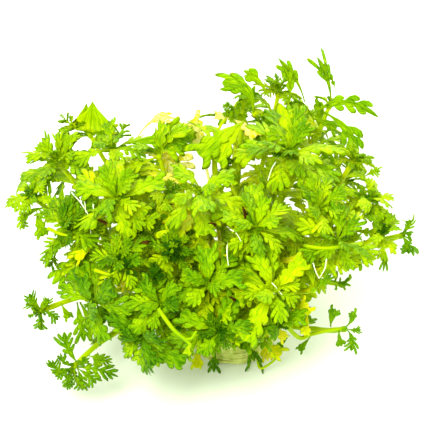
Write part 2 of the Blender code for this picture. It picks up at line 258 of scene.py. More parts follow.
@dataclass
class Leaf:
    """One leaf: a thin closed blade whose lobed outline follows a bent midrib.

    Attributes:
        bow: how far the midrib's control point stands off the middle of the line from foot to tip.
        facing: which way the upper side looks.
        tones: its colour at foot and tip.
        width: share of the form's own.
        twist: of the blade about its midrib at the tip, in radians.
    """

    foot: np.ndarray
    tip: np.ndarray
    bow: np.ndarray
    facing: np.ndarray
    form: LeafForm
    tones: Pair
    thickness: float = 0.32 * MM
    width: float = 1.0
    twist: float = 0.0

    STALK_STEPS = 5
    END_STEPS = 5
    LAST = 0.985
    LOBE_SPREAD = (0.74, 1.14)
    LOBE_TURN = 0.75
    LOBE_WIDENING = 0.10
    DROOP = 0.6
    BLADE_FROM = (0.3 * MM, 1.5 * MM)
    STALK_BODY = 0.40 * MM
    SUNK_TOP = 0.12 * MM
    SUNK_BELOW = 0.18 * MM

    def __post_init__(self) -> None:
        """Find the control point of the midrib's quadratic curve."""
        self.knee = (self.foot + self.tip) / 2 + self.bow
        self.shape = self.form.value

    def curve(self, s: np.ndarray) -> np.ndarray:
        """Places on the midrib's quadratic curve, which runs on past the tip above 1."""
        return (1 - s) ** 2 * self.foot + 2 * s * (1 - s) * self.knee + s**2 * self.tip

    def section(self) -> tuple[np.ndarray, np.ndarray]:
        """The blade's section: each corner's place across, from -1 to 1, and its side, 1 on top."""
        top = [-0.72, 0.0, 0.72] if self.shape.fine else [-0.82, -0.45, 0.0, 0.45, 0.82]
        lower = [0.0] if self.shape.fine else [0.62, 0.0, -0.62]
        across = np.array([-1.0, *top, 1.0, *lower])
        return across, np.array([0.0] + [1.0] * len(top) + [0.0] + [-1.0] * len(lower))

    def stations(self) -> tuple[np.ndarray, np.ndarray]:
        """Places along the leaf for its rings, and the lobe count at each place.

        Each lobe has one place in the gap before it, and its own places follow a cosine, so that
        they are close together at its flanks.
        """
        shape = self.shape
        number = len(shape.lobes)
        stalk = np.linspace(0.0, shape.start, self.STALK_STEPS, endpoint=False)
        flanks = 0.5 - 0.5 * shape.fill * np.cos(math.pi * np.arange(shape.steps - 1) / (shape.steps - 2))
        lobe = (np.arange(number)[:, None] + np.concatenate([[0.0], flanks])).ravel()
        lobes = shape.start + (shape.stop - shape.start) * lobe / number
        end = np.sin(np.linspace(0.0, math.pi / 2, self.END_STEPS)) * self.LAST
        along = np.concatenate([stalk, lobes, blend((shape.stop, 1.0), end)])
        return along, np.concatenate([np.zeros(len(stalk)), lobe, number + 0.5 * end])

    def outline(self, along: np.ndarray, lobe: np.ndarray, random: Random) -> tuple[np.ndarray, np.ndarray]:
        """Half widths of both edges, as shares of the length, and the turn of the lobes.

        The stalk widens evenly into the web. Each lobe stands out from the web by
        (1 - |x| ^ blunt) ^ 0.5, where x runs from -1 to 1 over it, and the end lobe closes as a
        quarter circle. Each is a little longer or shorter than the shape says.

        Args:
            along: places along the leaf.
            lobe: the lobe count at each place.
            random: source of each lobe's own length.

        Returns:
            Half widths, shape (2, places), and x times the lobe's outline, shape (places,).
        """
        shape = self.shape
        number = len(shape.lobes)
        end = np.clip((along - shape.stop) / (1.0 - shape.stop), 0.0, 1.0)
        web = blend((shape.petiole, shape.webs[0]), smooth(along, 0.10, shape.start))
        web = web + (shape.webs[1] - shape.webs[0]) * smooth(along, shape.start, shape.stop)
        own = np.array(shape.lobes)[None, :] * random.uniform(*self.LOBE_SPREAD, (2, number))
        own = np.concatenate([own, np.zeros((2, 1))], axis=1)
        which = np.minimum(lobe.astype(int), number)
        x = (2.0 * (lobe - which) - 1.0) / shape.fill
        bulge = np.sqrt(np.maximum(1.0 - np.abs(x) ** shape.blunt, 0.0))
        inside = (lobe > 0.0) & (which < number)
        out = np.where(inside, np.maximum(own[:, which] - web, 0.0) * bulge, 0.0)
        return (web + out) * (1.0 - end**2) ** shape.close * self.width, np.where(inside, x * bulge, 0.0)

    def midrib(self, share: np.ndarray) -> tuple[np.ndarray, np.ndarray, np.ndarray]:
        """Places on the midrib, and the directions sideways and upwards there.

        Args:
            share: how far along, of any shape.

        Returns:
            Place, side and normal, each with a last axis of 3.
        """
        s = share[..., None]
        tangent = unit(2 * (1 - s) * (self.knee - self.foot) + 2 * s * (self.tip - self.knee))
        normal = unit(self.facing - tangent * (tangent @ self.facing)[..., None])
        turn = self.twist * s
        side = np.cos(turn) * np.cross(tangent, normal) + np.sin(turn) * normal
        return self.curve(s), side, np.cross(side, tangent)

    def grow(self, skin: Skin, random: Random) -> None:
        """Carry the blade's flat section along the midrib and add it to a skin.

        A point at share a across lies a * half width to the side, and that distance times the
        sweep further along. A lobe's near flank moves out and its far flank in, which turns the
        lobe forwards, and it widens outwards. The edges rise by cup times the distance, lobes rise
        and dip in turn, and the midrib is sunk on top and stands out below.

        Args:
            skin: the mesh that the leaf joins.
            random: source of the leaf's small differences.
        """
        shape = self.shape
        number = len(shape.lobes)
        along, lobe = self.stations()
        widths, flank = self.outline(along, lobe, random)
        length = float(np.linalg.norm(self.tip - self.foot))
        a, layer = (part[None, :] for part in self.section())
        end = np.clip((along - shape.stop) / (1.0 - shape.stop), 0.0, 1.0)
        edge = np.where(a < 0, widths[0][:, None], widths[1][:, None]) * length
        lean = shape.sweep[0] + (shape.sweep[1] - shape.sweep[0]) * lobe / number
        lean = lean * (1.0 - end) ** 1.5
        half_lobe = 0.5 * (shape.stop - shape.start) / number
        turned = self.LOBE_TURN * half_lobe * flank * lean / np.sqrt(1.0 + lean**2)
        distance = np.abs(a) * edge - turned[:, None] * np.abs(a) ** 1.5 * length
        wider = self.LOBE_WIDENING * half_lobe * flank[:, None] * np.abs(a)
        reach = along[:, None] + lean[:, None] * np.abs(a) * edge / length + wider
        wave = shape.wave * np.sin(math.tau * lobe[:, None] + random.uniform(0.0, math.tau)) * a**2 * edge
        droop = random.uniform(0.0, self.DROOP) * distance**2 / (0.25 * length)
        slim = smooth(edge.max(axis=1, keepdims=True), *self.BLADE_FROM)
        half_body = 0.5 * self.thickness * slim + self.STALK_BODY * (1.0 - slim)
        body = half_body * np.sqrt(1.0 - a**2) * layer
        sunk = np.where(a == 0.0, -np.where(layer < 0, self.SUNK_BELOW, self.SUNK_TOP), 0.0) * slim
        place, side, normal = self.midrib(reach)
        raised = shape.cup * distance + wave - droop + body + sunk
        grid = place + (np.sign(a) * distance)[..., None] * side + raised[..., None] * normal
        marks = np.stack(np.broadcast_arrays(0.5 + 0.5 * a, lobe[:, None]), axis=-1)
        tones = blend(self.tones, smooth(along, 0.15, 0.75))
        skin.sweep(grid, marks, np.broadcast_to(tones[:, None], grid.shape[:2]))


@dataclass
class Tube:
    """A round strand along a path of shape (places, 3), with an even number of corners round it."""

    path: np.ndarray
    radii: np.ndarray
    tones: Pair
    corners: int = 8

    def grow(self, skin: Skin) -> None:
        """Carry a circle along the path, without twist, and add it to a skin.

        The circle's first direction is the first one made square to each tangent in turn.

        Args:
            skin: the mesh that the strand joins.
        """
        tangents = unit(np.gradient(self.path, axis=0))
        side = UP if abs(tangents[0][2]) < 0.9 else np.array([1.0, 0.0, 0.0])
        sides = np.empty_like(tangents)
        for i, tangent in enumerate(tangents):
            side = unit(side - tangent * side.dot(tangent))
            sides[i] = side
        others = np.cross(tangents, sides)
        turns = np.arange(self.corners) * math.tau / self.corners
        ring = np.cos(turns)[None, :, None] * sides[:, None] + np.sin(turns)[None, :, None] * others[:, None]
        grid = self.path[:, None] + self.radii[:, None, None] * ring
        share = np.linspace(0.0, 1.0, len(self.path))
        across = turns[None, :] / math.tau * 0.2 + 0.6
        marks = np.stack(np.broadcast_arrays(across, 0.0 * share[:, None]), axis=-1)
        skin.sweep(grid, marks, np.broadcast_to(blend(self.tones, share)[:, None], grid.shape[:2]))


@dataclass
class Solid:
    """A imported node's corners, each once, and for each the corners that a triangle joins it to."""

    points: np.ndarray
    links: list[set[int]]

    MERGE = 0.005 * MM
    LEVEL = 0.02 * MM

    @classmethod
    def read(cls, name: str) -> "Solid":
        """Read a node from the frame and merge its corners."""
        mesh = frame["nodes"][name].data
        places = np.empty(len(mesh.vertices) * 3)
        mesh.vertices.foreach_get("co", places)
        places = places.reshape(-1, 3)
        corners = np.empty(len(mesh.loops), dtype=np.int64)
        mesh.loops.foreach_get("vertex_index", corners)
        rounded = np.round(places / cls.MERGE).astype(np.int64)
        _, first, index = np.unique(rounded, axis=0, return_index=True, return_inverse=True)
        links: list[set[int]] = [set() for _ in first]
        for triangle in index.reshape(-1)[corners].reshape(-1, 3).tolist():
            for corner in triangle:
                links[corner].update(triangle)
        return cls(places[first], links)

    def rings(self) -> list[np.ndarray]:
        """The stalk's rings of corners, from the root mat on, while they keep their number."""
        level = {int(k) for k in np.flatnonzero(np.abs(self.points[:, 2] - MAT_TOP) < self.LEVEL)}
        seen = set(level)
        number = len(level)
        rings = []
        while len(level) == number:
            rings.append(self.points[sorted(level)])
            level = {k for corner in level for k in self.links[corner]} - seen
            seen |= level
        return rings


@dataclass
class Shoot:
    """A stem or stalk and the crown on it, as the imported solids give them.

    Attributes:
        node: the node that its leaves stand for.
        stem: the node of its bare stem, or nothing where the stalk is part of the sprig.
        route: places along its stem, from the root mat to the crown.
        hub: the crown's seat.
        axis: the way the crown looks.
        reach: how far its solid leaves reach from the seat.
    """

    name: str
    node: str
    stem: str
    route: np.ndarray
    hub: np.ndarray
    axis: np.ndarray
    reach: float
    slot: str

    SPRIG_CROWN = 24 * MM
    STEPS = 60

    @classmethod
    def read(cls, node: str, slot: str) -> "Shoot":
        """Read a main shoot by its crown_ node, or a side shoot by its sprig_ node.

        Its crown sits square on its hub's foot ring, turned away from the stem.

        Args:
            node: the node of its leaves.
            slot: their material slot.

        Returns:
            The shoot.
        """
        kind, _, name = node.partition("_")
        solid = Solid.read(node)
        stem = "stem_" + name if kind == "crown" else ""
        rings = (Solid.read(stem) if stem else solid).rings()
        route = np.array([ring.mean(axis=0) for ring in rings])
        gaps = np.linalg.norm(solid.points - route[-1], axis=1)
        ring = solid.points[np.argsort(gaps)[:4]] if stem else rings[-1]
        leaves = solid.points if stem else solid.points[gaps < cls.SPRIG_CROWN]
        hub = ring.mean(axis=0)
        axis = np.linalg.svd(ring - hub)[2][2]
        axis = axis * np.sign(axis @ (route[-1] - route[-2]))
        beyond = leaves[(leaves - hub) @ axis > 0]
        reach = float(np.linalg.norm(beyond - hub, axis=1).max())
        return cls(name, node, stem, route, hub, axis, reach, slot)

    def along(self, share: float) -> tuple[np.ndarray, np.ndarray]:
        """A place on the stem and the stem's direction there."""
        path = spline(self.route, self.STEPS + 1)
        k = int(round(share * self.STEPS))
        return path[k], unit(path[min(k + 1, self.STEPS)] - path[max(k - 1, 0)])


@dataclass(frozen=True)
class CrownHabit:
    """How a crown carries its leaves. Lengths are shares of the solid crown's reach.

    Every pair goes from the innermost leaf to the outermost, and forms are taken in turn.

    Attributes:
        grown: how many grown leaves there are.
        length: of the longest.
        lifts: how steeply they stand above the crown's level, in degrees.
        young: how many small leaves crowd at the heart.
        stem_leaves: leaves on the stem below the crown.
    """

    forms: tuple[LeafForm, ...]
    grown: int
    length: float
    lifts: Pair
    tones: Pair
    young: int
    young_lengths: Pair
    young_tones: Pair
    stem_leaves: int
    stem_forms: tuple[LeafForm, ...] = (WEDGE, BROAD)


class Habit(Enum):
    """The habits of crown on the plant."""

    OPEN = CrownHabit((WEDGE, BROAD), 12, 1.18, (52, -12), (0.36, 0.50), 10, (0.16, 0.46), (0.32, 0.26), 13)
    CUT = CrownHabit((BROAD,), 13, 1.18, (52, -12), (0.40, 0.54), 10, (0.16, 0.46), (0.32, 0.28), 13)
    SHADED = CrownHabit((FINE,), 15, 1.10, (58, -14), (0.30, 0.50), 22, (0.18, 0.55), (0.00, 0.22), 9)
    DENSE = CrownHabit((WEDGE, BROAD), 9, 1.16, (30, -16), (0.38, 0.50), 26, (0.20, 0.66), (0.10, 0.32), 10)
    GOLDEN = CrownHabit((FAN,), 5, 1.12, (34, -14), (0.72, 0.70), 6, (0.16, 0.40), (0.56, 0.50), 4)
    BRIGHT = CrownHabit((WEDGE, BROAD), 11, 1.16, (46, -10), (0.55, 0.46), 14, (0.20, 0.50), (0.74, 0.58), 10)
    FEATHERY = CrownHabit((FINE,), 18, 1.10, (60, -16), (0.28, 0.42), 12, (0.25, 0.60), (0.10, 0.26), 9)
    LOOSE = CrownHabit((SPRAY, FINE), 10, 1.10, (50, -16), (0.26, 0.42), 8, (0.30, 0.60), (0.10, 0.26), 3,
                       (FINE,))
    TOOTHED = CrownHabit((TRIDENT,), 4, 1.10, (60, -6), (0.30, 0.42), 2, (0.25, 0.40), (0.20, 0.28), 2,
                         (TRIDENT,))

    @classmethod
    def of(cls, name: str, slot: str) -> "Habit":
        """The habit of a named shoot, as the photograph shows it, or else by its slot."""
        named = next((habit for habit, names in HABITS.items() if name in names), cls.OPEN)
        return cls.DENSE if slot == "leaf_dark" and named in (cls.CUT, cls.OPEN) else named


HABITS: dict[Habit, tuple[str, ...]] = {
    Habit.TOOTHED: ("low_right", "right_small", "right_edge"),
    Habit.LOOSE: ("low_left", "left"),
    Habit.BRIGHT: ("front_right",),
    Habit.SHADED: ("front_dark", "left_high"),
    Habit.GOLDEN: ("top_middle",),
    Habit.FEATHERY: ("top_back", "left_middle", "right_upper", "far_left_back"),
    Habit.DENSE: ("left_edge", "front_low", "right_middle"),
    Habit.CUT: ("top_front", "upper_left", "left_back", "top_left", "right_front", "right_low",
                "right_inner"),
}


@dataclass(frozen=True)
class Clearing:
    """A straight gap in the leaves, from its middle towards the eye. Millimetres.

    Attributes:
        owner: the shoot whose own leaves may stand in it.
        behind: how far it also runs inwards.
    """

    middle: Place
    radius: float
    owner: str = ""
    behind: float = 0.0

    OUTER_HALF = np.array([[0.45], [0.75], [1.0]])

    def crossed_by(self, leaf: Leaf) -> bool:
        """Whether the outer half of a leaf comes nearer to the gap's line than its radius."""
        offsets = leaf.curve(self.OUTER_HALF) / MM - np.array(self.middle)
        depth = offsets @ TOWARDS_EYE
        near = np.linalg.norm(offsets - depth[:, None] * TOWARDS_EYE, axis=1) < self.radius
        return bool(np.any(near & (depth > -self.behind)))


THROUGH = 200.0
CLEARINGS: tuple[Clearing, ...] = (
    *(Clearing((x, y, z), radius, behind=THROUGH) for x, y, z, radius in (
        (-27, -20, 88, 2.5), (23.5, 0, 61, 3), (41, 0, 78.7, 2.5), (-37, 20, 86, 2.5),
        (-6, 43, 83.5, 4), (11, -25, 17.5, 4.5), (17, -27, 24, 3.5), (-9, 35, 57, 8),
        (-52, 31, 80, 5.5), (-62, -33, 34, 5), (-10.5, -50, 30.5, 3.5), (-19, 30, 62, 4),
        (51, 38, 64, 6), (44, 38, 73, 4), (43, 40, 92, 5), (24, 44, 92, 3.5),
        (-15.8, -50, 26.2, 4), (-6.6, -50, 26.2, 4), (21, -25, 16, 4.5), (0, -46, 23, 3),
        (-47, 5, 84.5, 2.5), (-54, 20, 75, 2.5), (-64, -10, 61, 3),
    )),
    *(Clearing((x, y, z), radius, owner, THROUGH) for owner, x, y, z, radius in (
        ("left", -60, -27, 39, 3.5), ("low_left", -41.5, -45, 27, 3.5), ("low_left", -49, -40, 31, 3.5),
        ("low_left", -66, -35, 24, 4), ("low_right", 24.6, -25, 24, 4.5),
        ("low_right", 30.5, -25, 26.5, 3), ("low_right", 38, -30, 44, 5.5),
        ("right_edge", 58.5, -9, 56.5, 2.5),
    )),
    *(Clearing((x, y, z), radius, owner) for owner, x, y, z, radius in (
        ("", -20, -56, 54, 4), ("", -24, -54, 56, 3), ("", 26, -36, 52, 5.5),
        ("front_dark", -22, -34, 71, 6.5), ("front_low", -6, -54, 52, 4.5),
        ("front_right", 14, -47, 64, 6.5), ("left_edge", -73, -2, 70, 4), ("left_high", -40, -38, 70, 5),
        ("right_low", 54, -17, 65, 3.5), ("right_middle", 49, -6, 71, 3.5), ("top_back", 17, 48, 79, 5),
        ("top_front", 20, 3, 85, 5),
    )),
    Clearing((-26.0, 14.0, 73.0), 4.5, behind=20.0),
    Clearing((3.7, -16.5, 3.3), 3.8, behind=8.0),
)


@dataclass(frozen=True)
class Trim:
    """How a named shoot differs from its habit: shares of it, its own numbers, and a tone to add, which is
    painted light and shade.
    """

    length: float
    stem_leaves: int
    share: float = 1.0
    shade_leaves: int = 12
    # A negative tone is painted shade, mostly on the low front shoots; a positive one is painted light,
    # mostly on the upper, back and inner ones.
    tone: float = 0.0


# The tones below are painted light and shade: darker where a shoot stands low at the front in shade, paler
# where it stands higher or further back in the light.
TRIMS: dict[str, Trim] = {
    "front_low": Trim(1, 10, tone=-0.07), "front_left": Trim(1, 13, tone=-0.1),
    "front_right": Trim(1, 13, tone=0.05), "left_front": Trim(1, 13, tone=-0.12),
    "left_low": Trim(1, 13, tone=-0.11), "front_low_right": Trim(1, 13, tone=-0.16),
    "front": Trim(1, 13, tone=0.01), "centre": Trim(1, 13, tone=0.1), "left_upper": Trim(1, 13, tone=0.1),
    "top_front": Trim(1, 13, 1.3), "back_middle": Trim(1, 13, tone=0.08),
    "back_right": Trim(1, 13, tone=0.08), "back_low": Trim(1, 13, tone=0.08),
    "top_middle": Trim(0.75, 1, 0.5, 2, -0.04), "top_left": Trim(1, 8, 0.5, tone=0.1),
    "back_top": Trim(0.55, 3, 0.35), "upper_right": Trim(0.55, 2, 0.35),
    "top_back": Trim(0.92, 5, tone=0.1), "right_upper": Trim(0.9, 4, tone=0.12),
    "right_low": Trim(0.85, 4), "right_middle": Trim(0.95, 6, tone=0.12), "right_front": Trim(0.95, 8),
    "right_lower": Trim(0.8, 4, 0.5), "right_small": Trim(0.7, 0, 0.5, 0),
    "right_edge": Trim(0.7, 1, 0.5, 0), "low_right": Trim(0.8, 0, 0, 0), "left": Trim(0.8, 1, 0.8, 0),
    "low_left": Trim(0.85, 1, 0.7, 0, -0.06), "left_edge": Trim(0.92, 8), "left_back": Trim(1.15, 12),
    "left_middle": Trim(1.25, 12), "far_left_back": Trim(0.75, 8, 0.6), "back_far_right": Trim(0.8, 8),
}


@dataclass
class Crown:
    """The leaves of one shoot: grown ones, the crowded heart, and older ones down the stem."""

    shoot: Shoot
    habit: CrownHabit
    trim: Trim
    random: Random
    skin: Skin = field(default_factory=Skin)

    WHORL_GUIDE = (1.0, 0.0, 1.0)
    STEM_GUIDE = (0.3, 0.9, 0.1)
    INNER_LENGTH = 0.78
    YOUNG_LIFTS = (80.0, 20.0)
    HEART = (4, (0.14, 0.22), (86.0, 60.0), (0.48, 0.44))
    LENGTH_SPREAD = (0.74, 1.07)
    LIFT_SPREAD = 14.0
    TONE_SPREAD = (-0.10, 0.12)
    BOW = 0.30
    TILT = 0.16
    TONE_LIMIT = 0.60
    FOOT_TONE_LIMIT = 0.68
    STEM_TOP = 0.97
    STEM_SPAN = 0.66
    STEM_TONE = 0.52
    YELLOW_BELOW = 0.65
    SHADE_LENGTHS = (8.0, 12.5)
    SHADE_TONES = (0.38, 0.76)
    SPRIG_TIP = 0.95 * MM
    SPRIG_TONE = 0.74

    def keep(self, leaf: Leaf) -> None:
        """Grow a leaf, unless it stands in a gap that isn't the shoot's own."""
        if not any(gap.crossed_by(leaf) for gap in CLEARINGS if gap.owner != self.shoot.name):
            leaf.grow(self.skin, self.random)

    def add_whorl(
        self, forms: tuple[LeafForm, ...], number: int, lengths: Pair, lifts: Pair, tones: Pair
    ) -> None:
        """Leaves turned by the golden angle from each to the next, from the upright inner ones out.

        Args:
            forms: how they are cut, in turn.
            number: of leaves.
            lengths: of the innermost and the outermost, as shares of the crown's reach.
            lifts: angles above the crown's level of both, in degrees.
            tones: of both.
        """
        uniform = self.random.uniform
        start = uniform(0.0, math.tau)
        number = round(self.trim.share * number)
        for i in range(number):
            rank = (i + 0.5) / number
            out = around(self.shoot.axis, self.WHORL_GUIDE, start + i * GOLDEN_ANGLE + uniform(-0.2, 0.2))
            length = self.trim.length * self.shoot.reach * uniform(*self.LENGTH_SPREAD)
            length = blend(lengths, rank**0.8) * length
            lift = math.radians(blend(lifts, rank) + uniform(-self.LIFT_SPREAD, self.LIFT_SPREAD))
            tone = min(blend(tones, rank) + uniform(*self.TONE_SPREAD) + self.trim.tone, self.TONE_LIMIT)
            self.add_leaf(forms[i % len(forms)], out, length, lift, rank, tone)

    def add_leaf(
        self, form: LeafForm, out: np.ndarray, length: float, lift: float, rank: float, tone: float
    ) -> None:
        """One leaf of the whorl: out from the hub and upwards by its lift, bowed up, tip down."""
        axis = self.shoot.axis
        uniform = self.random.uniform
        foot = self.shoot.hub + (1.6 - 2.4 * rank) * MM * axis + 0.5 * MM * out
        tip = foot + length * (math.cos(lift) * out + math.sin(lift) * axis)
        facing = math.cos(lift) * axis - math.sin(lift) * out
        bow = self.BOW * length * uniform(0.6, 1.4) * facing
        facing = unit(facing + self.TILT * self.random.normal(size=3))
        tones = (min(tone + 0.14, self.FOOT_TONE_LIMIT), tone)
        width, twist = uniform(0.86, 1.12), uniform(-0.4, 0.4)
        self.keep(Leaf(foot, tip, bow, facing, form, tones, width=width, twist=twist))

    def add_stem_leaves(self) -> None:
        """Older leaves down the stem, each turned by the golden angle from the one before.

        They lean away from the plant's middle and upwards, and the lowest are the yellowest.
        """
        uniform = self.random.uniform
        start = uniform(0.0, math.tau)
        number = self.trim.stem_leaves
        for i in range(number):
            share = self.STEM_TOP - self.STEM_SPAN * (i + uniform(0.0, 0.8)) / number
            foot, tangent = self.shoot.along(share)
            outwards = unit(foot * (1.0, 1.0, 0.0) + (0.0, -8.0 * MM, 0.0))
            direction = around(tangent, self.STEM_GUIDE, start + i * GOLDEN_ANGLE) + 0.9 * outwards
            direction = unit(direction + uniform(-0.1, 0.5) * UP)
            length = self.trim.length * self.shoot.reach * uniform(0.85, 1.15)
            facing = unit(UP + 0.5 * outwards - direction * (UP @ direction))
            bow = uniform(0.1, 0.35) * length * facing
            tone = self.STEM_TONE + 0.32 * (1.0 - share) + uniform(-0.12, 0.10) + self.trim.tone
            if uniform() < 0.30 * (self.YELLOW_BELOW - share):
                tone = Tissue.YELLOW
            tones = (min(tone + 0.1, Tissue.YELLOW), tone)
            forms = self.habit.stem_forms
            self.keep(Leaf(foot, foot + length * direction, bow, facing, forms[i % len(forms)], tones))

    def add_shade_leaves(self) -> None:
        """Small dark leaves close round the stem, where the others shade them."""
        uniform = self.random.uniform
        for i in range(self.trim.shade_leaves):
            foot, tangent = self.shoot.along(uniform(0.22, 0.90))
            direction = around(tangent, self.STEM_GUIDE, i * GOLDEN_ANGLE)
            direction = unit(direction + uniform(0.0, 1.0) * tangent + uniform(-0.2, 0.4) * UP)
            length = uniform(*self.SHADE_LENGTHS) * MM
            facing = unit(UP + 0.4 * tangent - direction * (UP @ direction))
            tone = uniform(*self.SHADE_TONES) + self.trim.tone
            tip = foot + length * direction
            self.keep(Leaf(foot, tip, 0.2 * length * facing, facing, SPRAY, (tone + 0.1, tone), width=1.15))

    def add_bud(self) -> None:
        """The seat of the leaves: the stem's end, swollen a little and closed round."""
        share = np.linspace(0.0, 1.0, 9)
        path = self.shoot.hub + (share[:, None] * 3.4 - 1.8) * MM * self.shoot.axis
        radii = (0.8 + 0.5 * np.sin(math.pi * share) - 0.6 * share**4) * MM
        Tube(path, radii, (Tissue.STALK, Tissue.GREEN)).grow(self.skin)

    def build(self, finish: bpy.types.Material) -> None:
        """Grow all of it as one mesh, and for a side shoot the stalk too."""
        habit = self.habit
        lengths = (self.INNER_LENGTH, habit.length)
        self.add_whorl(habit.forms, habit.grown, lengths, habit.lifts, habit.tones)
        self.add_whorl((FINE,), habit.young, habit.young_lengths, self.YOUNG_LIFTS, habit.young_tones)
        self.add_whorl((FINE,), *self.HEART)
        self.add_stem_leaves()
        self.add_shade_leaves()
        self.add_bud()
        if not self.shoot.stem:
            Stem(self.shoot, self.random, self.SPRIG_TIP, self.SPRIG_TONE).grow(self.skin)
        self.skin.build(self.shoot.node + "_leafy", self.shoot.slot, finish, self.shoot.node)


@dataclass
class Stem:
    """A juicy stem with a slight swelling at each node."""

    shoot: Shoot
    random: Random
    tip_radius: float = 0.78 * MM
    tone: float = 0.70
    foot_radius: float = 1.15 * MM
    sunk: float = 0.4 * MM
    rings: int = 34
    swelling: float = 0.16
    node_count: int = 5

    def grow(self, skin: Skin) -> None:
        """A tapering tube, its radius swollen by swelling * cos(...)^8 at evenly spaced nodes."""
        path = spline(self.shoot.route, self.rings)
        path[0, 2] -= self.sunk
        share = np.linspace(0.0, 1.0, self.rings)
        taper = blend((self.foot_radius, self.tip_radius), share)
        phase = self.random.uniform(0.0, math.pi)
        swollen = 1.0 + self.swelling * np.cos(math.pi * self.node_count * share + phase) ** 8
        tone = self.tone + self.random.uniform(-0.05, 0.05)
        Tube(path, taper * swollen, (tone - 0.06, tone), corners=10).grow(skin)

    def build(self, finish: bpy.types.Material) -> None:
        """The stem as a piece of its own, in place of its solid."""
        skin = Skin()
        self.grow(skin)
        skin.build(self.shoot.stem + "_round", "stem_green", finish, self.shoot.stem)


@dataclass
class SingleLeaf:
    """A long-stalked leaf that rises or hangs clear of the crowns, in place of its own solid.

    Attributes:
        width: share of the form's own.
        right: how far the blade's knee stands to the right of the solid's own line.
    """

    node: str
    slot: str
    tone: float
    form: LeafForm
    random: Random
    width: float = 1.0
    right: float = 0.0

    FOOT, MIDDLE, STEPS = 22, 31, 41
    STALK_RADIUS = 0.9 * MM
    STALK_STEPS = 25

    def build(self, finish: bpy.types.Material) -> None:
        """Carry a thin stalk along the solid's lower half and the blade along its upper half."""
        rings = Solid.read(self.node).rings()
        route = spline(np.array([ring.mean(axis=0) for ring in rings]), self.STEPS)
        skin = Skin()
        radii = np.linspace(1.0, 0.55, self.STALK_STEPS) * self.STALK_RADIUS
        Tube(route[:self.STALK_STEPS], radii, (Tissue.STALK, self.tone + 0.1)).grow(skin)
        foot, middle, end = route[self.FOOT], route[self.MIDDLE], route[-1]
        away = unit(end * (1.0, 1.0, 0.0) + (0.0, -0.02, 0.0))
        facing = unit((0.0, -0.7, 0.7) - 0.3 * away)
        knee = middle + 0.5 * (middle - (foot + end) / 2) + (self.right, 0.0, 0.0)
        tip = end - 0.04 * (end - foot)
        bow = knee - (foot + tip) / 2
        tones = (self.tone + 0.06, self.tone)
        Leaf(foot, tip, bow, facing, self.form, tones, width=self.width).grow(skin, self.random)
        skin.build(self.node + "_blade", self.slot, finish, self.node)


@dataclass(frozen=True)
class PickedLeaf:
    """One leaf that the photograph shows clearly. Places and the midrib's bow are in millimetres."""

    form: LeafForm
    tone: float
    foot: Place
    tip: Place
    bow: Place
    width: float = 1.0

    FACING = (0.0, -0.64, 0.77)

    def grow(self, skin: Skin, random: Random) -> None:
        """Add the leaf to a skin."""
        foot, tip, bow = (np.array(place) * MM for place in (self.foot, self.tip, self.bow))
        tones = (max(min(self.tone + 0.10, Tissue.YELLOW), self.tone), self.tone)
        Leaf(foot, tip, bow, unit(self.FACING), self.form, tones, width=self.width).grow(skin, random)


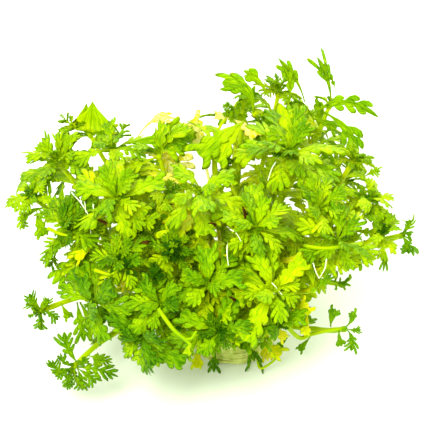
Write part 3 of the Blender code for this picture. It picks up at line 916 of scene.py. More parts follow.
PICKED: tuple[PickedLeaf, ...] = tuple(PickedLeaf(*row) for row in (
    (TENT, 0.54, (-52.4, 29, 76), (-51.8, 33, 88.2), (0.5, -2, 1), 1.15),
    (TENT, 0.48, (-54.2, 30, 76), (-54, 34, 86.5), (-0.5, -1, 1), 0.7),
    (BROAD, 0.4, (-39, 9.5, 86), (-15.5, 7, 86), (1, 2, 3.5), 0.95),
    (BROAD, 0.48, (-76, -4, 67), (-76.5, -7, 59), (-2, -1, 0), 1.1),
    (WEDGE, 0.46, (-72, -4, 66), (-69.5, -9, 57.5), (0, -2, 0)),
    (FINE, 0.4, (-66, -10, 62), (-61, -14, 57.5), (0, -2, 1)),
    (LONG, 1.1, (-35, 22, 79), (-21, 23, 87), (-2, 0, 7), 0.8),
    (BROAD, 1.12, (-34, 15, 78), (-17.5, 15, 67), (3, 0, 3), 1.3),
    (HAND, 0.5, (-64, 15, 73), (-70, 18, 81.5), (-1, -2, 2), 0.8),
    (LONG, 0.48, (-63.5, 15, 73), (-64.5, 18, 83.5), (0, -2, 2)),
    (HAND, 0.46, (-63, 15, 73), (-59, 19, 83), (0, -2, 2), 0.7),
    (BROAD, 0.46, (-64, 14, 71), (-71, 4, 66), (0, -2, 4)),
    (FINE, 0.34, (-60, -16, 62), (-67, -16, 55), (0, -1, 3)),
    (HAND, 0.42, (-54, -18, 58), (-66, -24, 47), (0, -2, 4)),
    (WEDGE, 0.42, (-50, -20, 56), (-57, -29, 47), (0, -2, 5)),
    (SPADE, 0.82, (-50, -28, 69.5), (-57, -32, 66), (0, -1, 2), 1.3),
    (BROAD, 0.36, (-57, -4, 76), (-56.5, -12, 66.5), (0, -1, 1), 1.2),
    (BROAD, 0.42, (-52, -4, 77), (-52, -12, 68), (0, -1, 1), 1.1),
    (BROAD, 0.4, (-62, -3, 77), (-63.5, -10, 67), (0, -1, 1), 1.1),
    (BROAD, 0.38, (-57, -29, 43), (-54.5, -34, 28), (0, -1, 1), 0.9),
    (HAND, 0.42, (-56, -29, 43), (-49.5, -33, 30.5), (0, -1, 1)),
    (SPADE, 0.42, (-63, -27.5, 41.2), (-60, -30, 36), (0, -1, 0.5), 1.3),
    (SPADE, 0.46, (7.4, 38, 76), (-4, 44, 87), (7.5, 0, 8), 1.05),
    (TRIDENT, 0.5, (13.5, 44, 80), (4, 47, 90.5), (1.5, 0, 3), 0.75),
    (LONG, 0.42, (36.5, 42, 79.5), (31, 44.5, 99), (2.5, -1, 1), 0.85),
    (LONG, 0.42, (26.8, 45, 77), (16.4, 45, 98.2), (3, 0, 1.5), 0.6),
    (LONG, 0.42, (38.5, 42, 81), (34.5, 45, 92), (1.5, 0, 2), 0.4),
    (BROAD, 0.36, (29, 41, 74), (54, 38, 75.5), (-1, 0, 13), 0.58),
    (HAND, 0.38, (33.5, 40, 76.5), (46.5, 28, 65), (4, 0, 4), 0.8),
    (FAN, 0.53, (4, 18, 89.5), (-12.5, 4, 85), (0, -1, 2.5), 0.85),
    (FAN, 0.58, (4, 18, 89.5), (-6, 3, 82.5), (0, -1, 2), 0.6),
    (FAN, 1.1, (0, 38, 74.5), (8.5, 30, 72.5), (0, 0, 2), 0.8),
    (FAN, 1.12, (0, 38, 73.5), (-6.5, 38, 76.5), (0, 0, 1), 0.8),
    (SPADE, 0.42, (30, 40, 73), (38.5, 37, 70.5), (0, 0, 2), 1.3),
    (BROAD, 0.46, (48, 6, 73), (54, 4, 77.5), (0, 0, 2)),
    (SPADE, 0.34, (9, 38, 76), (16.5, 34, 70), (0, 0, 4), 1.1),
    (SPADE, 0.38, (8, 34, 72), (15, 30, 66), (0, 0, 4), 1.1),
    (SPADE, 0.36, (9, 36, 77), (19, 36, 77), (0, 0, 3), 1),
    (BROAD, 0.62, (5, 22, 66), (14, 16, 64), (0, 0, 3)),
    (BROAD, 0.66, (6, 24, 68), (-4, 16, 62), (0, 0, 4)),
    (BROAD, 0.58, (10, 20, 64), (20, 14, 57), (0, 0, 4)),
    (HAND, 0.66, (8, 14, 60), (14, 6, 53), (0, 0, 4)),
    (BROAD, 0.6, (-2, 16, 62), (-8, 8, 56), (0, 0, 4)),
    (HAND, 0.62, (14, 26, 70), (22, 24, 66), (0, 0, 4)),
    (HAND, 0.46, (-31, -50, 47), (-34.5, -54, 34.5), (0, -4, 1)),
    (HAND, 0.5, (-30, -50, 46.5), (-27, -54, 33.5), (0, -4, 1)),
    (BROAD, 0.48, (-29, -50, 47), (-21, -55, 37), (0, -4, 1)),
    (BROAD, 0.46, (-32, -50, 45), (-40, -51, 38), (0, -4, 2)),
    (BROAD, 0.5, (-18, -40, 40), (-18, -55, 36.5), (0, -3, 5)),
    (BROAD, 0.42, (-10, -38, 40), (-10, -51, 37), (0, -3, 5)),
    (BROAD, 0.46, (-24, -40, 42), (-23, -56, 38), (0, -3, 5)),
    (SPADE, 0.88, (-12.5, -15, 11), (-13.5, -23, 5), (0, -2, 2)),
    (FINE, 0.3, (-57, -43.5, 24), (-42, -45.5, 21), (0, -2, 4), 0.9),
    (FINE, 0.34, (-53, -40, 26.5), (-44, -44, 26.5), (0, -2, 2)),
    (BROAD, 0.32, (-56.5, -43, 25), (-61.5, -40.5, 38.5), (-2, -2, 1), 0.9),
    (FINE, 0.28, (-61, -45, 20.5), (-65.8, -45, 29), (-2, -1, 0), 1.2),
    (BROAD, 0.26, (-58, -44, 24), (-60.5, -48, 18.5), (-1, -1, 1), 1.3),
    (BROAD, 0.28, (-57, -44, 24), (-55, -49, 17.5), (1, -1, 1), 1.2),
    (BROAD, 0.3, (-57, -44, 24), (-50, -48, 20), (1, -1, 1), 1.1),
    (BROAD, 0.24, (-58, -44, 24), (-65, -46, 21.5), (0, -1, 1.5), 1.2),
    (FINE, 0.34, (-52, -43, 24), (-47, -45, 31), (1, -1, 0), 1.1),
    (BROAD, 0.28, (-70.5, -27, 38), (-74.5, -28, 46), (-0.5, -1, 0.5), 1.1),
    (BROAD, 0.32, (-70, -27, 38), (-67.5, -28, 44), (0.5, -1, 0), 1.3),
    (BROAD, 0.3, (-70, -27.5, 38), (-64, -30, 35), (0.5, -1, 1.5), 1.2),
    (BROAD, 0.3, (-70, -27.5, 38), (-71, -30, 30.5), (0, -1.5, 0), 1.2),
    (BROAD, 0.26, (-70.5, -27, 38), (-76, -27.5, 40.5), (0, -1, 1.5), 1.3),
    (SPADE, 0.62, (-15.6, -65, 55), (-16.8, -66, 50.5), (0, -0.5, 0), 1.5),
    (SPADE, 0.88, (-6, -36, 69.5), (-4, -39.5, 75.5), (0, -1, 1), 1.3),
    (SPADE, 0.9, (-9.5, -44, 64), (-5, -47, 68.5), (0, -1, 1), 1.3),
    (SPADE, 0.88, (16, -29, 62), (25, -34, 67), (0, -1, 2), 1.2),
    (SPADE, 0.88, (26, -32, 60), (33.5, -36, 63), (0, -1, 2), 1.2),
    (WEDGE, 0.34, (8, -30, 37), (3, -44, 33), (0, -3, 3)),
    (BROAD, 0.4, (12, -30, 37), (10.5, -44, 33), (0, -3, 3)),
    (SPADE, 0.88, (8, -22, 18.5), (18, -27, 15.5), (0, -2, 2), 1.3),
    (LONG, 0.18, (2, -15, 14.5), (8, -21.5, 7.3), (2, -3, 2.5), 1.5),
    (BROAD, 0.62, (-24, -12, 79.5), (-29, -20, 84), (0, 0, 2), 1.2),
    (BROAD, 0.6, (-24, -12, 79.5), (-18, -20, 82.5), (0, -1, 2), 1.2),
    (BROAD, 0.56, (-24, -12, 79.5), (-24.5, -22, 80), (0, -1, 2), 1.2),
    (WEDGE, 0.56, (-42, -17, 81), (-31, -23, 80), (0, -1, 2), 1.1),
    (BROAD, 0.56, (-42, -17, 81), (-33, -27.5, 75.5), (0, -1, 2), 1.1),
    (BROAD, 0.58, (-35, -20, 73), (-28, -27, 79), (0, -1, 2), 1.3),
    (BROAD, 1.06, (-30, 0, 79), (-19, -4, 76), (0, 0, 2.5), 1.3),
    (BROAD, 0.6, (8, -31, 79), (0.5, -36, 81), (0, -1, 1.5), 1.2),
    (BROAD, 0.56, (8, -31, 79), (5, -39, 74.5), (0, -1, 2), 1.2),
    (BROAD, 0.56, (14, -47, 64), (24, -46, 66), (0, -1, 2), 1.2),
    (BROAD, 0.54, (14, -47, 64), (23, -48, 59.5), (0, -1, 2), 1.2),
    (BROAD, 0.54, (8, -31, 78), (-1, -38.5, 73), (0, -1, 2), 1.1),
    (BROAD, 0.58, (8, -31, 78), (1, -33, 77.5), (0, -1, 1), 1.1),
    (BROAD, 0.6, (26, -17, 62), (19.5, -27, 66), (0, -1, 2), 1.2),
    (BROAD, 0.62, (24, -20, 56), (15.5, -32, 60), (0, -1, 2), 1.2),
    (BROAD, 0.6, (26, -18, 60), (29, -29, 62), (0, -1, 2), 1.1),
    (SPADE, 0.89, (21, -36, 46), (27, -44, 55), (0, -3, 0), 1.3),
    (SPADE, 0.88, (27, -40, 49), (26, -44, 40), (0, -3, 0), 0.9),
    (SPADE, 0.86, (14, -36, 40), (19, -40, 34.5), (0, -3, 2), 1.1),
    (SPADE, 0.32, (36, -24.5, 27), (37.5, -25, 36), (-1, 0, 0), 1.2),
    (SPADE, 0.34, (41.5, -27, 29), (43.5, -27.5, 37), (2.2, 0, 0), 1.1),
    (SPADE, 0.3, (28.7, -20, 18), (24.5, -22, 13), (0, -1, 1), 1.1),
    (SPADE, 0.3, (25.4, -19, 20), (28.5, -21, 29), (-1, 0, 0), 1.3),
    (TRIDENT, 0.32, (39, -27, 28), (40, -28, 20.5), (-0.8, 0, 0), 1.2),
    (BROAD, 0.3, (42, -27.5, 28), (43.5, -29, 19), (2, 0, 1), 1.2),
    (BROAD, 0.32, (42, -27.5, 28.5), (47, -28, 28.5), (0, 0, -1), 1.3),
    (TRIDENT, 0.3, (21, -17, 16), (16.5, -20, 12), (0, -1, 1)),
    (BROAD, 0.32, (61.5, -8, 57.5), (64.5, -8, 64.5), (2, 0, 0.5), 1.4),
    (BROAD, 0.3, (61.5, -8, 57), (64.5, -9, 49), (2, 0, 0.5), 1.4),
    (TRIDENT, 0.24, (61, -8, 58), (65.5, -9, 58), (0, 0, 1), 1.5),
    (LONG, 0.38, (54, -12, 57), (55, -15, 45), (2, 0, 2), 0.7),
    (HAND, 0.44, (48, -14, 60), (44.5, -17, 48.5), (1, -1, 1)),
    (BROAD, 0.48, (44, -12, 62), (54, -14, 61.5), (0, -1, 3)),
    (BROAD, 0.5, (44, -9, 65), (52, -11, 68.5), (0, -1, 3)),
))


@dataclass(frozen=True)
class Tuft:
    """A small side twig with feathery leaves. Places and reach are in millimetres."""

    foot: Place
    head: Place
    reach: float
    leaves: int = 12
    tones: Pair = (0.28, 0.50)

    GUIDE = (0.3, 0.2, 0.9)
    STEPS = 14

    def grow(self, skin: Skin, random: Random) -> None:
        """A bent stalk from foot to head, with leaves turned by the golden angle up its outer half."""
        foot, head = np.array(self.foot) * MM, np.array(self.head) * MM
        bend = np.array([0.0, 0.0, -0.15 * np.linalg.norm(head - foot)])
        path = spline(np.array([foot, (foot + head) / 2 + bend, head]), self.STEPS)
        radii = np.linspace(0.50, 0.28, self.STEPS) * MM
        Tube(path, radii, (Tissue.STALK, Tissue.GREEN), corners=6).grow(skin)
        along = unit(path[-1] - path[-3])
        for i in range(self.leaves):
            rank = i / (self.leaves - 1)
            place = path[self.STEPS - 1 - int(6 * rank)]
            direction = unit(around(along, self.GUIDE, i * GOLDEN_ANGLE) + (1.3 - 1.1 * rank) * along)
            length = self.reach * MM * (0.6 + 0.4 * rank) * random.uniform(0.85, 1.15)
            facing = unit(along - direction * (along @ direction) + 0.2 * UP)
            tone = random.uniform(*self.tones)
            tip = place + length * direction
            Leaf(place, tip, 0.15 * length * facing, facing, FINE, (tone, tone), 0.26 * MM).grow(skin, random)


TUFTS: tuple[Tuft, ...] = tuple(Tuft(*row) for row in (
    ((-54, 30, 75.5), (-61.5, 28, 82), 5.5, 8),
    ((-43.5, 12, 83.5), (-40.5, 18, 86), 5.5, 7),
    ((3.5, 42, 80.5), (0, 36.5, 80), 6, 9),
    ((-64, -19, 62), (-66, -22, 56), 5.5, 8),
    ((33, -31, 57), (40, -28, 51), 4.5, 8),
    ((6, 40, 70), (11, 36, 74), 8),
    ((19, 46, 74), (23, 40, 74), 8),
    ((2, 24, 64), (-1.5, 20, 71), 6, 9),
    ((-2, 16, 60), (-4, 14, 66), 6, 9),
    ((-26, -8, 62), (-26, -20, 72), 10),
    ((-16, -10, 60), (-17, -24, 69), 9),
    ((-34, -8, 62), (-35, -20, 72), 9),
    ((-24, -4, 70), (-24, -12, 80), 9),
    ((-2, -24, 56), (-4, -36, 66), 9),
    ((-52, -14, 60), (-54, -24, 62), 8),
    # Tufts with tones near 0 are painted shade: near-black leaves set where the bush's shade lies deepest.
    ((-22, -33, 70), (-21.7, -41, 79.5), 5.5, 18, (0, 0.1)),
    ((-21.8, -39, 78), (-21.7, -43.5, 82.5), 2.6, 8, (0.4, 0.48)),
    ((-30, -35, 60), (-28, -44.5, 69), 6.5, 14, (0.02, 0.16)),
    ((-38, -38, 68), (-37.5, -44.5, 74), 4.5, 10, (0.02, 0.16)),
))


@dataclass
class LooseLeaves:
    """The leaves at the rim and the front, and the small twigs, that the photograph shows one by one."""

    random: Random

    def build(self, finish: bpy.types.Material) -> None:
        """Each kind as one mesh that rides with the plant."""
        kinds = (("picked_leaves", "leaf_green", PICKED), ("side_twigs", "leaf_dark", TUFTS))
        for name, slot, pieces in kinds:
            skin = Skin()
            for piece in pieces:
                piece.grow(skin, self.random)
            skin.build(name, slot, finish)


@dataclass(frozen=True)
class Strands:
    """Thin round strands among the leaves, as one piece. Places and lengths are in millimetres.

    Attributes:
        taper: radii at both ends, as shares of each strand's own.
        corners: points round each, an even number.
        lift: how far they stand out towards the eye.
        rows: the radius and the tone of each, and the places that it passes.
    """

    name: str
    slot: str
    taper: Pair
    steps: int
    corners: int
    lift: float
    rows: tuple[tuple[float, float, tuple[Place, ...]], ...]

    def build(self, finish: bpy.types.Material) -> None:
        """Each as a tapering tube through its places."""
        skin = Skin()
        for radius, tone, places in self.rows:
            path = spline((np.array(places) + self.lift * TOWARDS_EYE) * MM, self.steps)
            radii = np.linspace(*self.taper, self.steps) * radius * MM
            Tube(path, radii, (tone, tone), self.corners).grow(skin)
        skin.build(self.name, self.slot, finish)


BARE_STALKS = Strands("bare_stalks", "stem_green", (1.0, 0.8), 22, 8, 0.0, (
    (0.8, 0.6, ((-27, -58, 65), (-21.5, -63, 59.5), (-15.8, -65, 54.5), (-16.8, -65, 51.5))),
    (0.6, 0.6, ((-17.5, -64.5, 56), (-15, -65, 57), (-13.2, -64.5, 60))),
    (0.8, 0.72, ((26, -33, 73), (33, -36, 74.5), (41.5, -32, 72.5), (47, -25, 68))),
    (0.55, 0.74, ((9, -18, 9), (10, -21.5, 4), (14, -23.5, 8), (17.5, -25, 14))),
    (0.6, 0.74, ((2, 44, 78), (-6, 32, 72), (-4, 20, 66), (2, 8, 60))),
    (0.7, 0.7, ((-5, -2, 66), (-2.5, -16, 76), (-1, -27, 80), (0, -33, 79))),
    (0.9, 0.72, ((17, -33, 38), (19.5, -32, 34), (24.5, -28, 24.5), (29, -27, 25.5),
                 (35.5, -26, 26.5), (41, -27, 28))),
    (0.68, 0.76, ((-67.3, -24, 74), (-62.5, -25, 72), (-56.3, -26, 70.8), (-50.7, -27, 69))),
    (0.7, 0.76, ((-50, -42, 69.5), (-45, -43, 68.2), (-40, -43, 66.5))),
    (0.85, 0.74, ((54, -10, 56.5), (58, -9, 57), (62.5, -8, 57.5))),
))
AIR_ROOTS = Strands("air_roots", "roots", (0.23, 0.14), 20, 6, 3.1, tuple((1.0, 0.5, row) for row in (
    ((-58.8, -8, 77.5), (-55, -15, 78), (-51.8, -22, 76.5), (-51.5, -25, 72)),
    ((-56.2, -9, 78.6), (-54, -14, 78.5), (-53.3, -18.5, 76.5)),
    ((-50.7, -16.5, 79), (-50.4, -20, 78.5), (-49.6, -23.5, 76)),
    ((-1.1, -32.5, 80.5), (1, -34, 80), (3, -35.5, 77)),
    ((-2.2, -37, 77), (-2.3, -39.5, 75), (-1.8, -42, 71.5)),
    ((13, -45, 67), (15, -47, 66), (17.5, -47, 62)),
    ((13.6, -47, 64.5), (15.5, -49, 62.5), (16.5, -49, 59)),
    ((28.7, -38, 69.3), (29.6, -38.5, 66), (30.9, -39, 62.8)),
    ((33.5, -38, 71.2), (32.8, -38.5, 66.8), (30.9, -39, 62.8)),
    ((15.4, -3, 87.5), (14, -7, 87.8), (12.5, -11, 85.5)),
)))


@dataclass
class WitheredScraps:
    """Small shrivelled brown leaves caught in the bush: foot and tip, in millimetres."""

    random: Random
    places: tuple[tuple[Place, Place], ...] = (
        ((3.4, -27, 86.5), (5, -28.5, 82)), ((5.4, -27.5, 85), (4.4, -29, 81.5)),
        ((-9.1, -33.4, 84), (-6.5, -33.5, 83.5)), ((-8.4, -50, 71.5), (-6.4, -51, 68)),
        ((-1.8, -53.3, 66.5), (0.5, -53.5, 65)), ((-34, -37.5, 78), (-30.5, -38, 79)),
        ((-49.5, -27, 79.5), (-46.5, -27.5, 79.8)), ((-25.5, -17.5, 80), (-22.5, -18, 80.5)),
    )

    def build(self, finish: bpy.types.Material) -> None:
        """Each a tiny lobed leaf, strongly bent and twisted."""
        skin = Skin()
        for places in self.places:
            foot, tip = np.array(places) * MM
            bow = self.random.uniform(-1.2, 1.2, 3) * MM
            facing = unit(np.array([0.0, -0.7, 0.7]) + 0.3 * self.random.normal(size=3))
            Leaf(foot, tip, bow, facing, FAN, (0.1, 0.1), 0.3 * MM, 1.1, 0.8).grow(skin, self.random)
        skin.build("withered_scraps", "leaf_dark", finish)


@dataclass
class RootMat:
    """The disc of matted roots, with the outer ones lying round it in rings.

    Attributes:
        low: lowest corner of the solid mat's box.
        high: its highest corner.
        coils: turns of each root that lies round the side.
        thread: radius of such a root.
        strands: roots that wander over the top.
    """

    low: np.ndarray
    high: np.ndarray
    random: Random
    coils: int = 5
    thread: float = 0.62 * MM
    strands: int = 26

    PROFILE = np.array([
        (0.02, 0.0), (0.55, 0.0), (0.93, 0.0), (0.985, 0.06), (1.0, 0.2), (0.99, 0.35), (1.0, 0.5),
        (0.98, 0.65), (0.97, 0.8), (0.94, 0.92), (0.86, 1.0), (0.6, 1.0), (0.3, 1.0), (0.02, 1.0),
    ])

    def add_core(self, skin: Skin) -> None:
        """A turned disc just inside the solid one, its side and top uneven with matted roots.

        The profile runs from the underside's centre to the top's centre, and each point's distance
        from the axis is changed by a sum of sines of the angle, height and both.
        """
        radius = self.high[0] - 1.2 * MM
        height = self.high[2] - self.low[2] - 0.4 * MM
        turns = np.linspace(0.0, math.tau, 96, endpoint=False)
        away, level = self.PROFILE[:, :1], self.PROFILE[:, 1:]
        bumps = 0.012 * np.sin(9 * turns + 7 * level) + 0.010 * np.sin(23 * turns - 11 * level)
        out = radius * away * (1.0 + bumps * smooth(level, 0.0, 0.1))
        rise = height * level + 0.25 * MM * np.sin(17 * turns + 30 * away) * (level >= 1.0)
        grid = np.stack(np.broadcast_arrays(out * np.cos(turns), out * np.sin(turns), rise), axis=-1)
        skin.sweep(grid, np.zeros((*grid.shape[:2], 2)), np.full(grid.shape[:2], 0.35))

    def add_strand(self, skin: Skin, out: np.ndarray, turn: np.ndarray, rise: np.ndarray,
                   radii: np.ndarray, tones: Pair) -> None:
        """One root, by its distance from the axis, its angle about it and its height at each place."""
        Tube(np.stack([out * np.cos(turn), out * np.sin(turn), rise], axis=-1), radii, tones, 6).grow(skin)

    def add_rings(self, skin: Skin) -> None:
        """Roots that wind round the side: helices with a slow wobble in radius and height."""
        outer = self.high[0] - self.thread - 0.1 * MM
        for start in (0.0, 2.1, 4.0):
            turn = np.linspace(0.0, math.tau * self.coils, 60 * self.coils)
            share = turn / turn[-1]
            wobble = 0.5 * MM * np.sin(2.3 * turn + start) + 0.3 * MM * np.sin(5.1 * turn + 2 * start)
            out = outer - 0.5 * MM - 0.9 * MM * share + np.minimum(wobble, 0.4 * MM)
            rise = self.thread + (self.high[2] - 2.4 * MM) * share
            rise = np.maximum(rise + 0.35 * MM * np.sin(1.7 * turn + start), self.thread + 0.05 * MM)
            radii = self.thread * (1.0 - 0.25 * np.sin(3.3 * turn + start) ** 2)
            self.add_strand(skin, out, turn + start, rise, radii, (0.75, 0.55))

    def add_top_threads(self, skin: Skin) -> None:
        """Roots that wander over the top among the stems."""
        steps = np.linspace(0.0, 1.0, 24)
        for _ in range(self.strands):
            angle = self.random.uniform(0.0, math.tau)
            bend = self.random.uniform(-1.6, 1.6)
            reach = self.random.uniform(0.5, 0.93)
            out = (self.high[0] - 1.8 * MM) * (0.25 + (reach - 0.25) * steps)
            rise = self.high[2] - 0.35 * MM + 0.4 * MM * np.sin(6.0 * steps + angle)
            self.add_strand(skin, out, angle + bend * steps, rise, np.full(24, 0.38 * MM), (0.6, 0.8))

    def build(self, finish: bpy.types.Material) -> None:
        """The whole mat as one mesh in place of its solid."""
        skin = Skin()
        self.add_core(skin)
        self.add_rings(skin)
        self.add_top_threads(skin)
        skin.build("root_mat_threads", "roots", finish, "root_mat")


class Recipe:
    """A new material whose nodes are added one by one, with what the finishes here share."""

    def __init__(self, name: str, settings: dict[str, object]) -> None:
        """Start a material.

        Args:
            name: of the material.
            settings: the shader's sockets and their values.
        """
        self.material = bpy.data.materials.new(name)
        self.material.use_nodes = True
        self.nodes = self.material.node_tree.nodes
        self.link = self.material.node_tree.links.new
        self.shader = self.nodes["Principled BSDF"].inputs
        for socket, value in settings.items():
            self.shader[socket].default_value = value
        self.place = self.nodes.new("ShaderNodeTexCoord").outputs["Object"]

    def math(self, kind: str, *values: object) -> bpy.types.NodeSocket:
        """A Math node's result, whose inputs are sockets or numbers."""
        node = self.nodes.new("ShaderNodeMath")
        node.operation = kind
        for socket, value in zip(node.inputs, values):
            if isinstance(value, bpy.types.NodeSocket):
                self.link(value, socket)
            else:
                socket.default_value = value
        return node.outputs[0]

    def noise(self, scale: float, detail: float, place: bpy.types.NodeSocket) -> bpy.types.NodeSocket:
        """Noise at a place, from 0 to 1."""
        node = self.nodes.new("ShaderNodeTexNoise")
        node.inputs["Scale"].default_value = scale
        node.inputs["Detail"].default_value = detail
        self.link(place, node.inputs["Vector"])
        return node.outputs["Fac"]

    def colour(self, value: bpy.types.NodeSocket, stops: tuple[tuple[float, Place], ...]) -> None:
        """The base colour, by a ramp through the stops."""
        node = self.nodes.new("ShaderNodeValToRGB")
        steps = node.color_ramp.elements
        steps.remove(steps[1])
        for i, (stop, colour) in enumerate(stops):
            step = steps.new(stop) if i else steps[0]
            step.position = stop
            step.color = (*colour, 1.0)
        self.link(value, node.inputs["Fac"])
        self.link(node.outputs["Color"], self.shader["Base Color"])

    def bump(self, height: bpy.types.NodeSocket, strength: float, distance: float) -> None:
        """The relief, by a height."""
        node = self.nodes.new("ShaderNodeBump")
        node.inputs["Strength"].default_value = strength
        node.inputs["Distance"].default_value = distance
        self.link(height, node.inputs["Height"])
        self.link(node.outputs["Normal"], self.shader["Normal"])


@dataclass(frozen=True)
class LeafFinish:
    """Living green: colour by tone, paler midrib and side veins, thin enough for light to enter.

    The ramp ends at the tone span. Slow patches, the paler midrib and veins, streaks from foot to
    tip and the grain of fine cells shift the tone by so much.
    """

    name: str = "living_leaf"
    span: float = 1.25
    roughness: float = 0.50
    specular: float = 0.10
    subsurface: float = 0.30
    subsurface_depth: float = 1.2 * MM
    patches: float = 0.42
    paler: float = 0.20
    streaks: float = 1.00
    grain: float = 0.10
    tones: tuple[tuple[float, Place], ...] = (
        (0.00, (0.0050, 0.034, 0.0002)),
        (0.14, (0.020, 0.092, 0.0002)),
        (0.32, (0.074, 0.195, 0.0002)),
        (0.50, (0.170, 0.318, 0.0002)),
        (0.66, (0.290, 0.430, 0.0002)),
        (0.80, (0.400, 0.525, 0.0005)),
        (0.92, (0.520, 0.530, 0.001)),
        (1.06, (0.660, 0.590, 0.010)),
        (1.20, (0.800, 0.780, 0.240)),
    )

    def build(self) -> bpy.types.Material:
        """The node tree: ramp, veins from the UV map, mottling and bump from Object coordinates."""
        recipe = Recipe(self.name, {
            "Roughness": self.roughness,
            "Specular IOR Level": self.specular,
            "Subsurface Weight": self.subsurface,
            "Subsurface Scale": self.subsurface_depth,
            "Subsurface Radius": (0.7, 1.0, 0.05),
            "Specular Tint": (0.75, 1.0, 0.15, 1.0),
        })
        nodes, link, calc = recipe.nodes, recipe.link, recipe.math
        tone = nodes.new("ShaderNodeAttribute")
        tone.attribute_name = "tone"
        marks = nodes.new("ShaderNodeUVMap")
        marks.uv_map = "leaf"
        split = nodes.new("ShaderNodeSeparateXYZ")
        link(marks.outputs["UV"], split.inputs[0])
        across = calc("ABSOLUTE", calc("SUBTRACT", split.outputs["X"], 0.5))
        midrib = calc("SMOOTH_MIN", 1.0, calc("DIVIDE", 0.012, calc("ADD", across, 0.012)))
        lobe = calc("ABSOLUTE", calc("SUBTRACT", calc("FRACT", split.outputs["Y"]), 0.5))
        vein = calc("DIVIDE", 0.02, calc("ADD", lobe, 0.02))
        vein = calc("MULTIPLY", vein, calc("SUBTRACT", 0.5, across))
        ribs = calc("MAXIMUM", calc("POWER", midrib, 1.5), vein)
        stretch = nodes.new("ShaderNodeVectorMath")
        stretch.operation = "MULTIPLY_ADD"
        stretch.inputs[1].default_value = (16.0, 0.8, 1.0)
        link(marks.outputs["UV"], stretch.inputs[0])
        link(recipe.place, stretch.inputs[2])
        cells = recipe.noise(700.0, 3.0, recipe.place)
        streaks = recipe.noise(1.0, 3.0, stretch.outputs[0])
        patches = recipe.noise(110.0, 2.0, recipe.place)
        value = calc("ADD", tone.outputs["Fac"], calc("MULTIPLY", ribs, self.paler))
        for noise, share in ((patches, self.patches), (streaks, self.streaks), (cells, self.grain)):
            value = calc("ADD", value, calc("MULTIPLY", calc("SUBTRACT", noise, 0.5), share))
        stops = tuple((stop / self.span, colour) for stop, colour in self.tones)
        recipe.colour(calc("DIVIDE", value, self.span), stops)
        relief = calc("SUBTRACT", calc("MULTIPLY", cells, 0.5), ribs)
        recipe.bump(calc("ADD", relief, calc("MULTIPLY", streaks, 1.5)), 0.7, 0.25 * MM)
        return recipe.material


@dataclass(frozen=True)
class PlainFinish:
    """A finish whose colour runs between two by noise on Object coordinates."""

    name: str
    low: Place
    high: Place
    scale: float
    roughness: float
    subsurface: float = 0.0
    bump: float = 0.3
    specular: float = 0.3

    def build(self) -> bpy.types.Material:
        """The node tree: noise to a two-colour ramp, and the same noise as bump."""
        recipe = Recipe(self.name, {
            "Roughness": self.roughness,
            "Specular IOR Level": self.specular,
            "Subsurface Weight": self.subsurface,
            "Subsurface Scale": 1.0 * MM,
        })
        noise = recipe.noise(self.scale, 4.0, recipe.place)
        recipe.colour(noise, ((0.35, self.low), (0.65, self.high)))
        recipe.bump(noise, self.bump, 0.2 * MM)
        return recipe.material


WITHERED = PlainFinish("withered", (0.018, 0.007, 0.001), (0.070, 0.032, 0.003), 600.0, 0.9, specular=0.02)
AIR_ROOT = PlainFinish("air_root", (0.76, 0.84, 0.42), (0.86, 0.90, 0.66), 300.0, 0.4, 0.3)
MATTED_ROOT = PlainFinish("matted_root", (0.34, 0.42, 0.03), (0.68, 0.74, 0.20), 260.0, 0.5, 0.2)
# The floor's pale yellow-green clips to white where lit; in the plant's shadow it is a painted green tint.
FLOOR = PlainFinish("floor_white", (0.745, 0.805, 0.64), (0.755, 0.815, 0.65), 2.0, 0.9, bump=0.0)


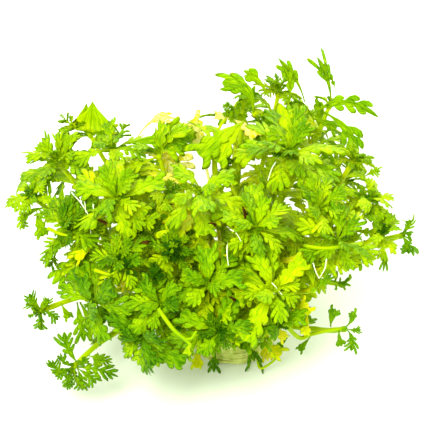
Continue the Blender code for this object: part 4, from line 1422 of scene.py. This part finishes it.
@dataclass
class Studio:
    """The plain bright studio, and the camera at the photograph's angle.

    Attributes:
        elevation: the camera's height above the level, in degrees.
        distance: from the camera to its aim.
        frame_width: what the picture spans there.
        sensor: the width of the camera's sensor, in its own millimetres.
        floor_painted_glow: painted light from the floor itself, which lifts its shadow, and its green tint.
        surround: how brightly the white surround shines.
    """

    elevation: float = 40.0
    distance: float = 1.8
    frame_width: float = 158.0 * MM
    sensor: float = 36.0
    aim: Place = (-6.6 * MM, 0.0, 60.0 * MM)
    half_floor: float = 3.0
    floor_painted_glow: tuple[float, Place] = (0.05, (0.90, 1.0, 0.60))
    surround: float = 1.38

    def add(self, name: str, data: bpy.types.ID, place: Place, turns: Place) -> bpy.types.Object:
        """Put a camera, a light or a mesh into the scene."""
        made = bpy.data.objects.new(name, data)
        made.location = place
        made.rotation_euler = turns
        bpy.context.scene.collection.objects.link(made)
        return made

    def add_camera(self) -> None:
        """A long lens that looks along +Y and down by the elevation."""
        camera = bpy.data.cameras.new("camera")
        camera.sensor_width = self.sensor
        camera.lens = self.sensor * self.distance / self.frame_width
        camera.clip_start = 0.05
        angle = math.radians(self.elevation)
        x, y, z = self.aim
        place = (x, y - self.distance * math.cos(angle), z + self.distance * math.sin(angle))
        bpy.context.scene.camera = self.add("camera", camera, place, (math.pi / 2 - angle, 0.0, 0.0))

    def add_light(self, name: str, place: Place, size: float, watts: float) -> None:
        """A square soft light that looks at the plant."""
        light = bpy.data.lights.new(name, "AREA")
        light.shape = "SQUARE"
        light.size = size
        light.energy = watts
        x, y, z = unit(np.array(self.aim) - np.array(place))
        self.add(name, light, place, (math.acos(-z), 0.0, math.atan2(y, x) - math.pi / 2))

    def add_floor(self) -> None:
        """A wide floor under the root mat, white where lit, its shadow lifted and tinted green by painted
        light.
        """
        mesh = bpy.data.meshes.new("studio_floor")
        half = self.half_floor
        corners = [(-half, -half, 0.0), (half, -half, 0.0), (half, half, 0.0), (-half, half, 0.0)]
        mesh.from_pydata(corners, [], [(0, 1, 2, 3)])
        material = FLOOR.build()
        shader = material.node_tree.nodes["Principled BSDF"]
        # The floor's glow is painted light: it lifts the plant's shadow and tints it green.
        strength, colour = self.floor_painted_glow
        shader.inputs["Emission Color"].default_value = (*colour, 1.0)
        shader.inputs["Emission Strength"].default_value = strength
        mesh.materials.append(material)
        self.add("studio_floor", mesh, (0.0, 0.0, 0.0), (0.0, 0.0, 0.0))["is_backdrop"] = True

    def build(self) -> None:
        """Camera, floor, world and lights, with colours shown as they are."""
        self.add_camera()
        self.add_floor()
        world = bpy.data.worlds.new("studio")
        world.use_nodes = True
        background = world.node_tree.nodes["Background"].inputs
        background["Color"].default_value = (1.0, 1.0, 1.0, 1.0)
        background["Strength"].default_value = self.surround
        bpy.context.scene.world = world
        self.add_light("key", (-0.22, -0.70, 0.90), 0.35, 17.0)
        self.add_light("back", (0.20, 0.75, 0.65), 0.6, 9.0)
        bpy.context.scene.view_settings.view_transform = "Standard"


def main() -> None:
    """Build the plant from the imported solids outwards, then the studio."""
    logging.basicConfig(level=logging.INFO, format="%(message)s")
    leaf = LeafFinish().build()
    slots = {part["node"]: part["material_slot"] for part in frame["record"]["subparts"]}
    nodes = [node for node in sorted(frame["nodes"]) if node.startswith(("crown_", "sprig_"))]
    for number, node in enumerate(nodes):
        shoot = Shoot.read(node, slots[node])
        random = np.random.default_rng((SEED, number))
        habit = Habit.of(shoot.name, shoot.slot).value
        trim = TRIMS.get(shoot.name, Trim(1.0, habit.stem_leaves))
        Crown(shoot, habit, trim, random).build(leaf)
        if shoot.stem:
            Stem(shoot, random).build(leaf)

    random = np.random.default_rng(SEED)
    SingleLeaf("leaf_tall_middle", "leaf_green", 0.44, LONG, random, 0.45, 4.0 * MM).build(leaf)
    SingleLeaf("leaf_pale_back", "leaf_yellow", 1.12, FAN, random, 0.9).build(leaf)
    SingleLeaf("leaf_hanging_dark", "leaf_green", 0.26, HAND, random).build(leaf)
    SingleLeaf("leaf_hanging_yellow", "leaf_yellow", 0.94, HAND, random).build(leaf)
    LooseLeaves(random).build(leaf)
    BARE_STALKS.build(leaf)
    WitheredScraps(random).build(WITHERED.build())
    AIR_ROOTS.build(AIR_ROOT.build())
    low, high = (np.array(corner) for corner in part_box("root_mat"))
    RootMat(low, high, random).build(MATTED_ROOT.build())

    Studio().build()
    low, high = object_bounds()


if __name__ == "__main__":
    main()
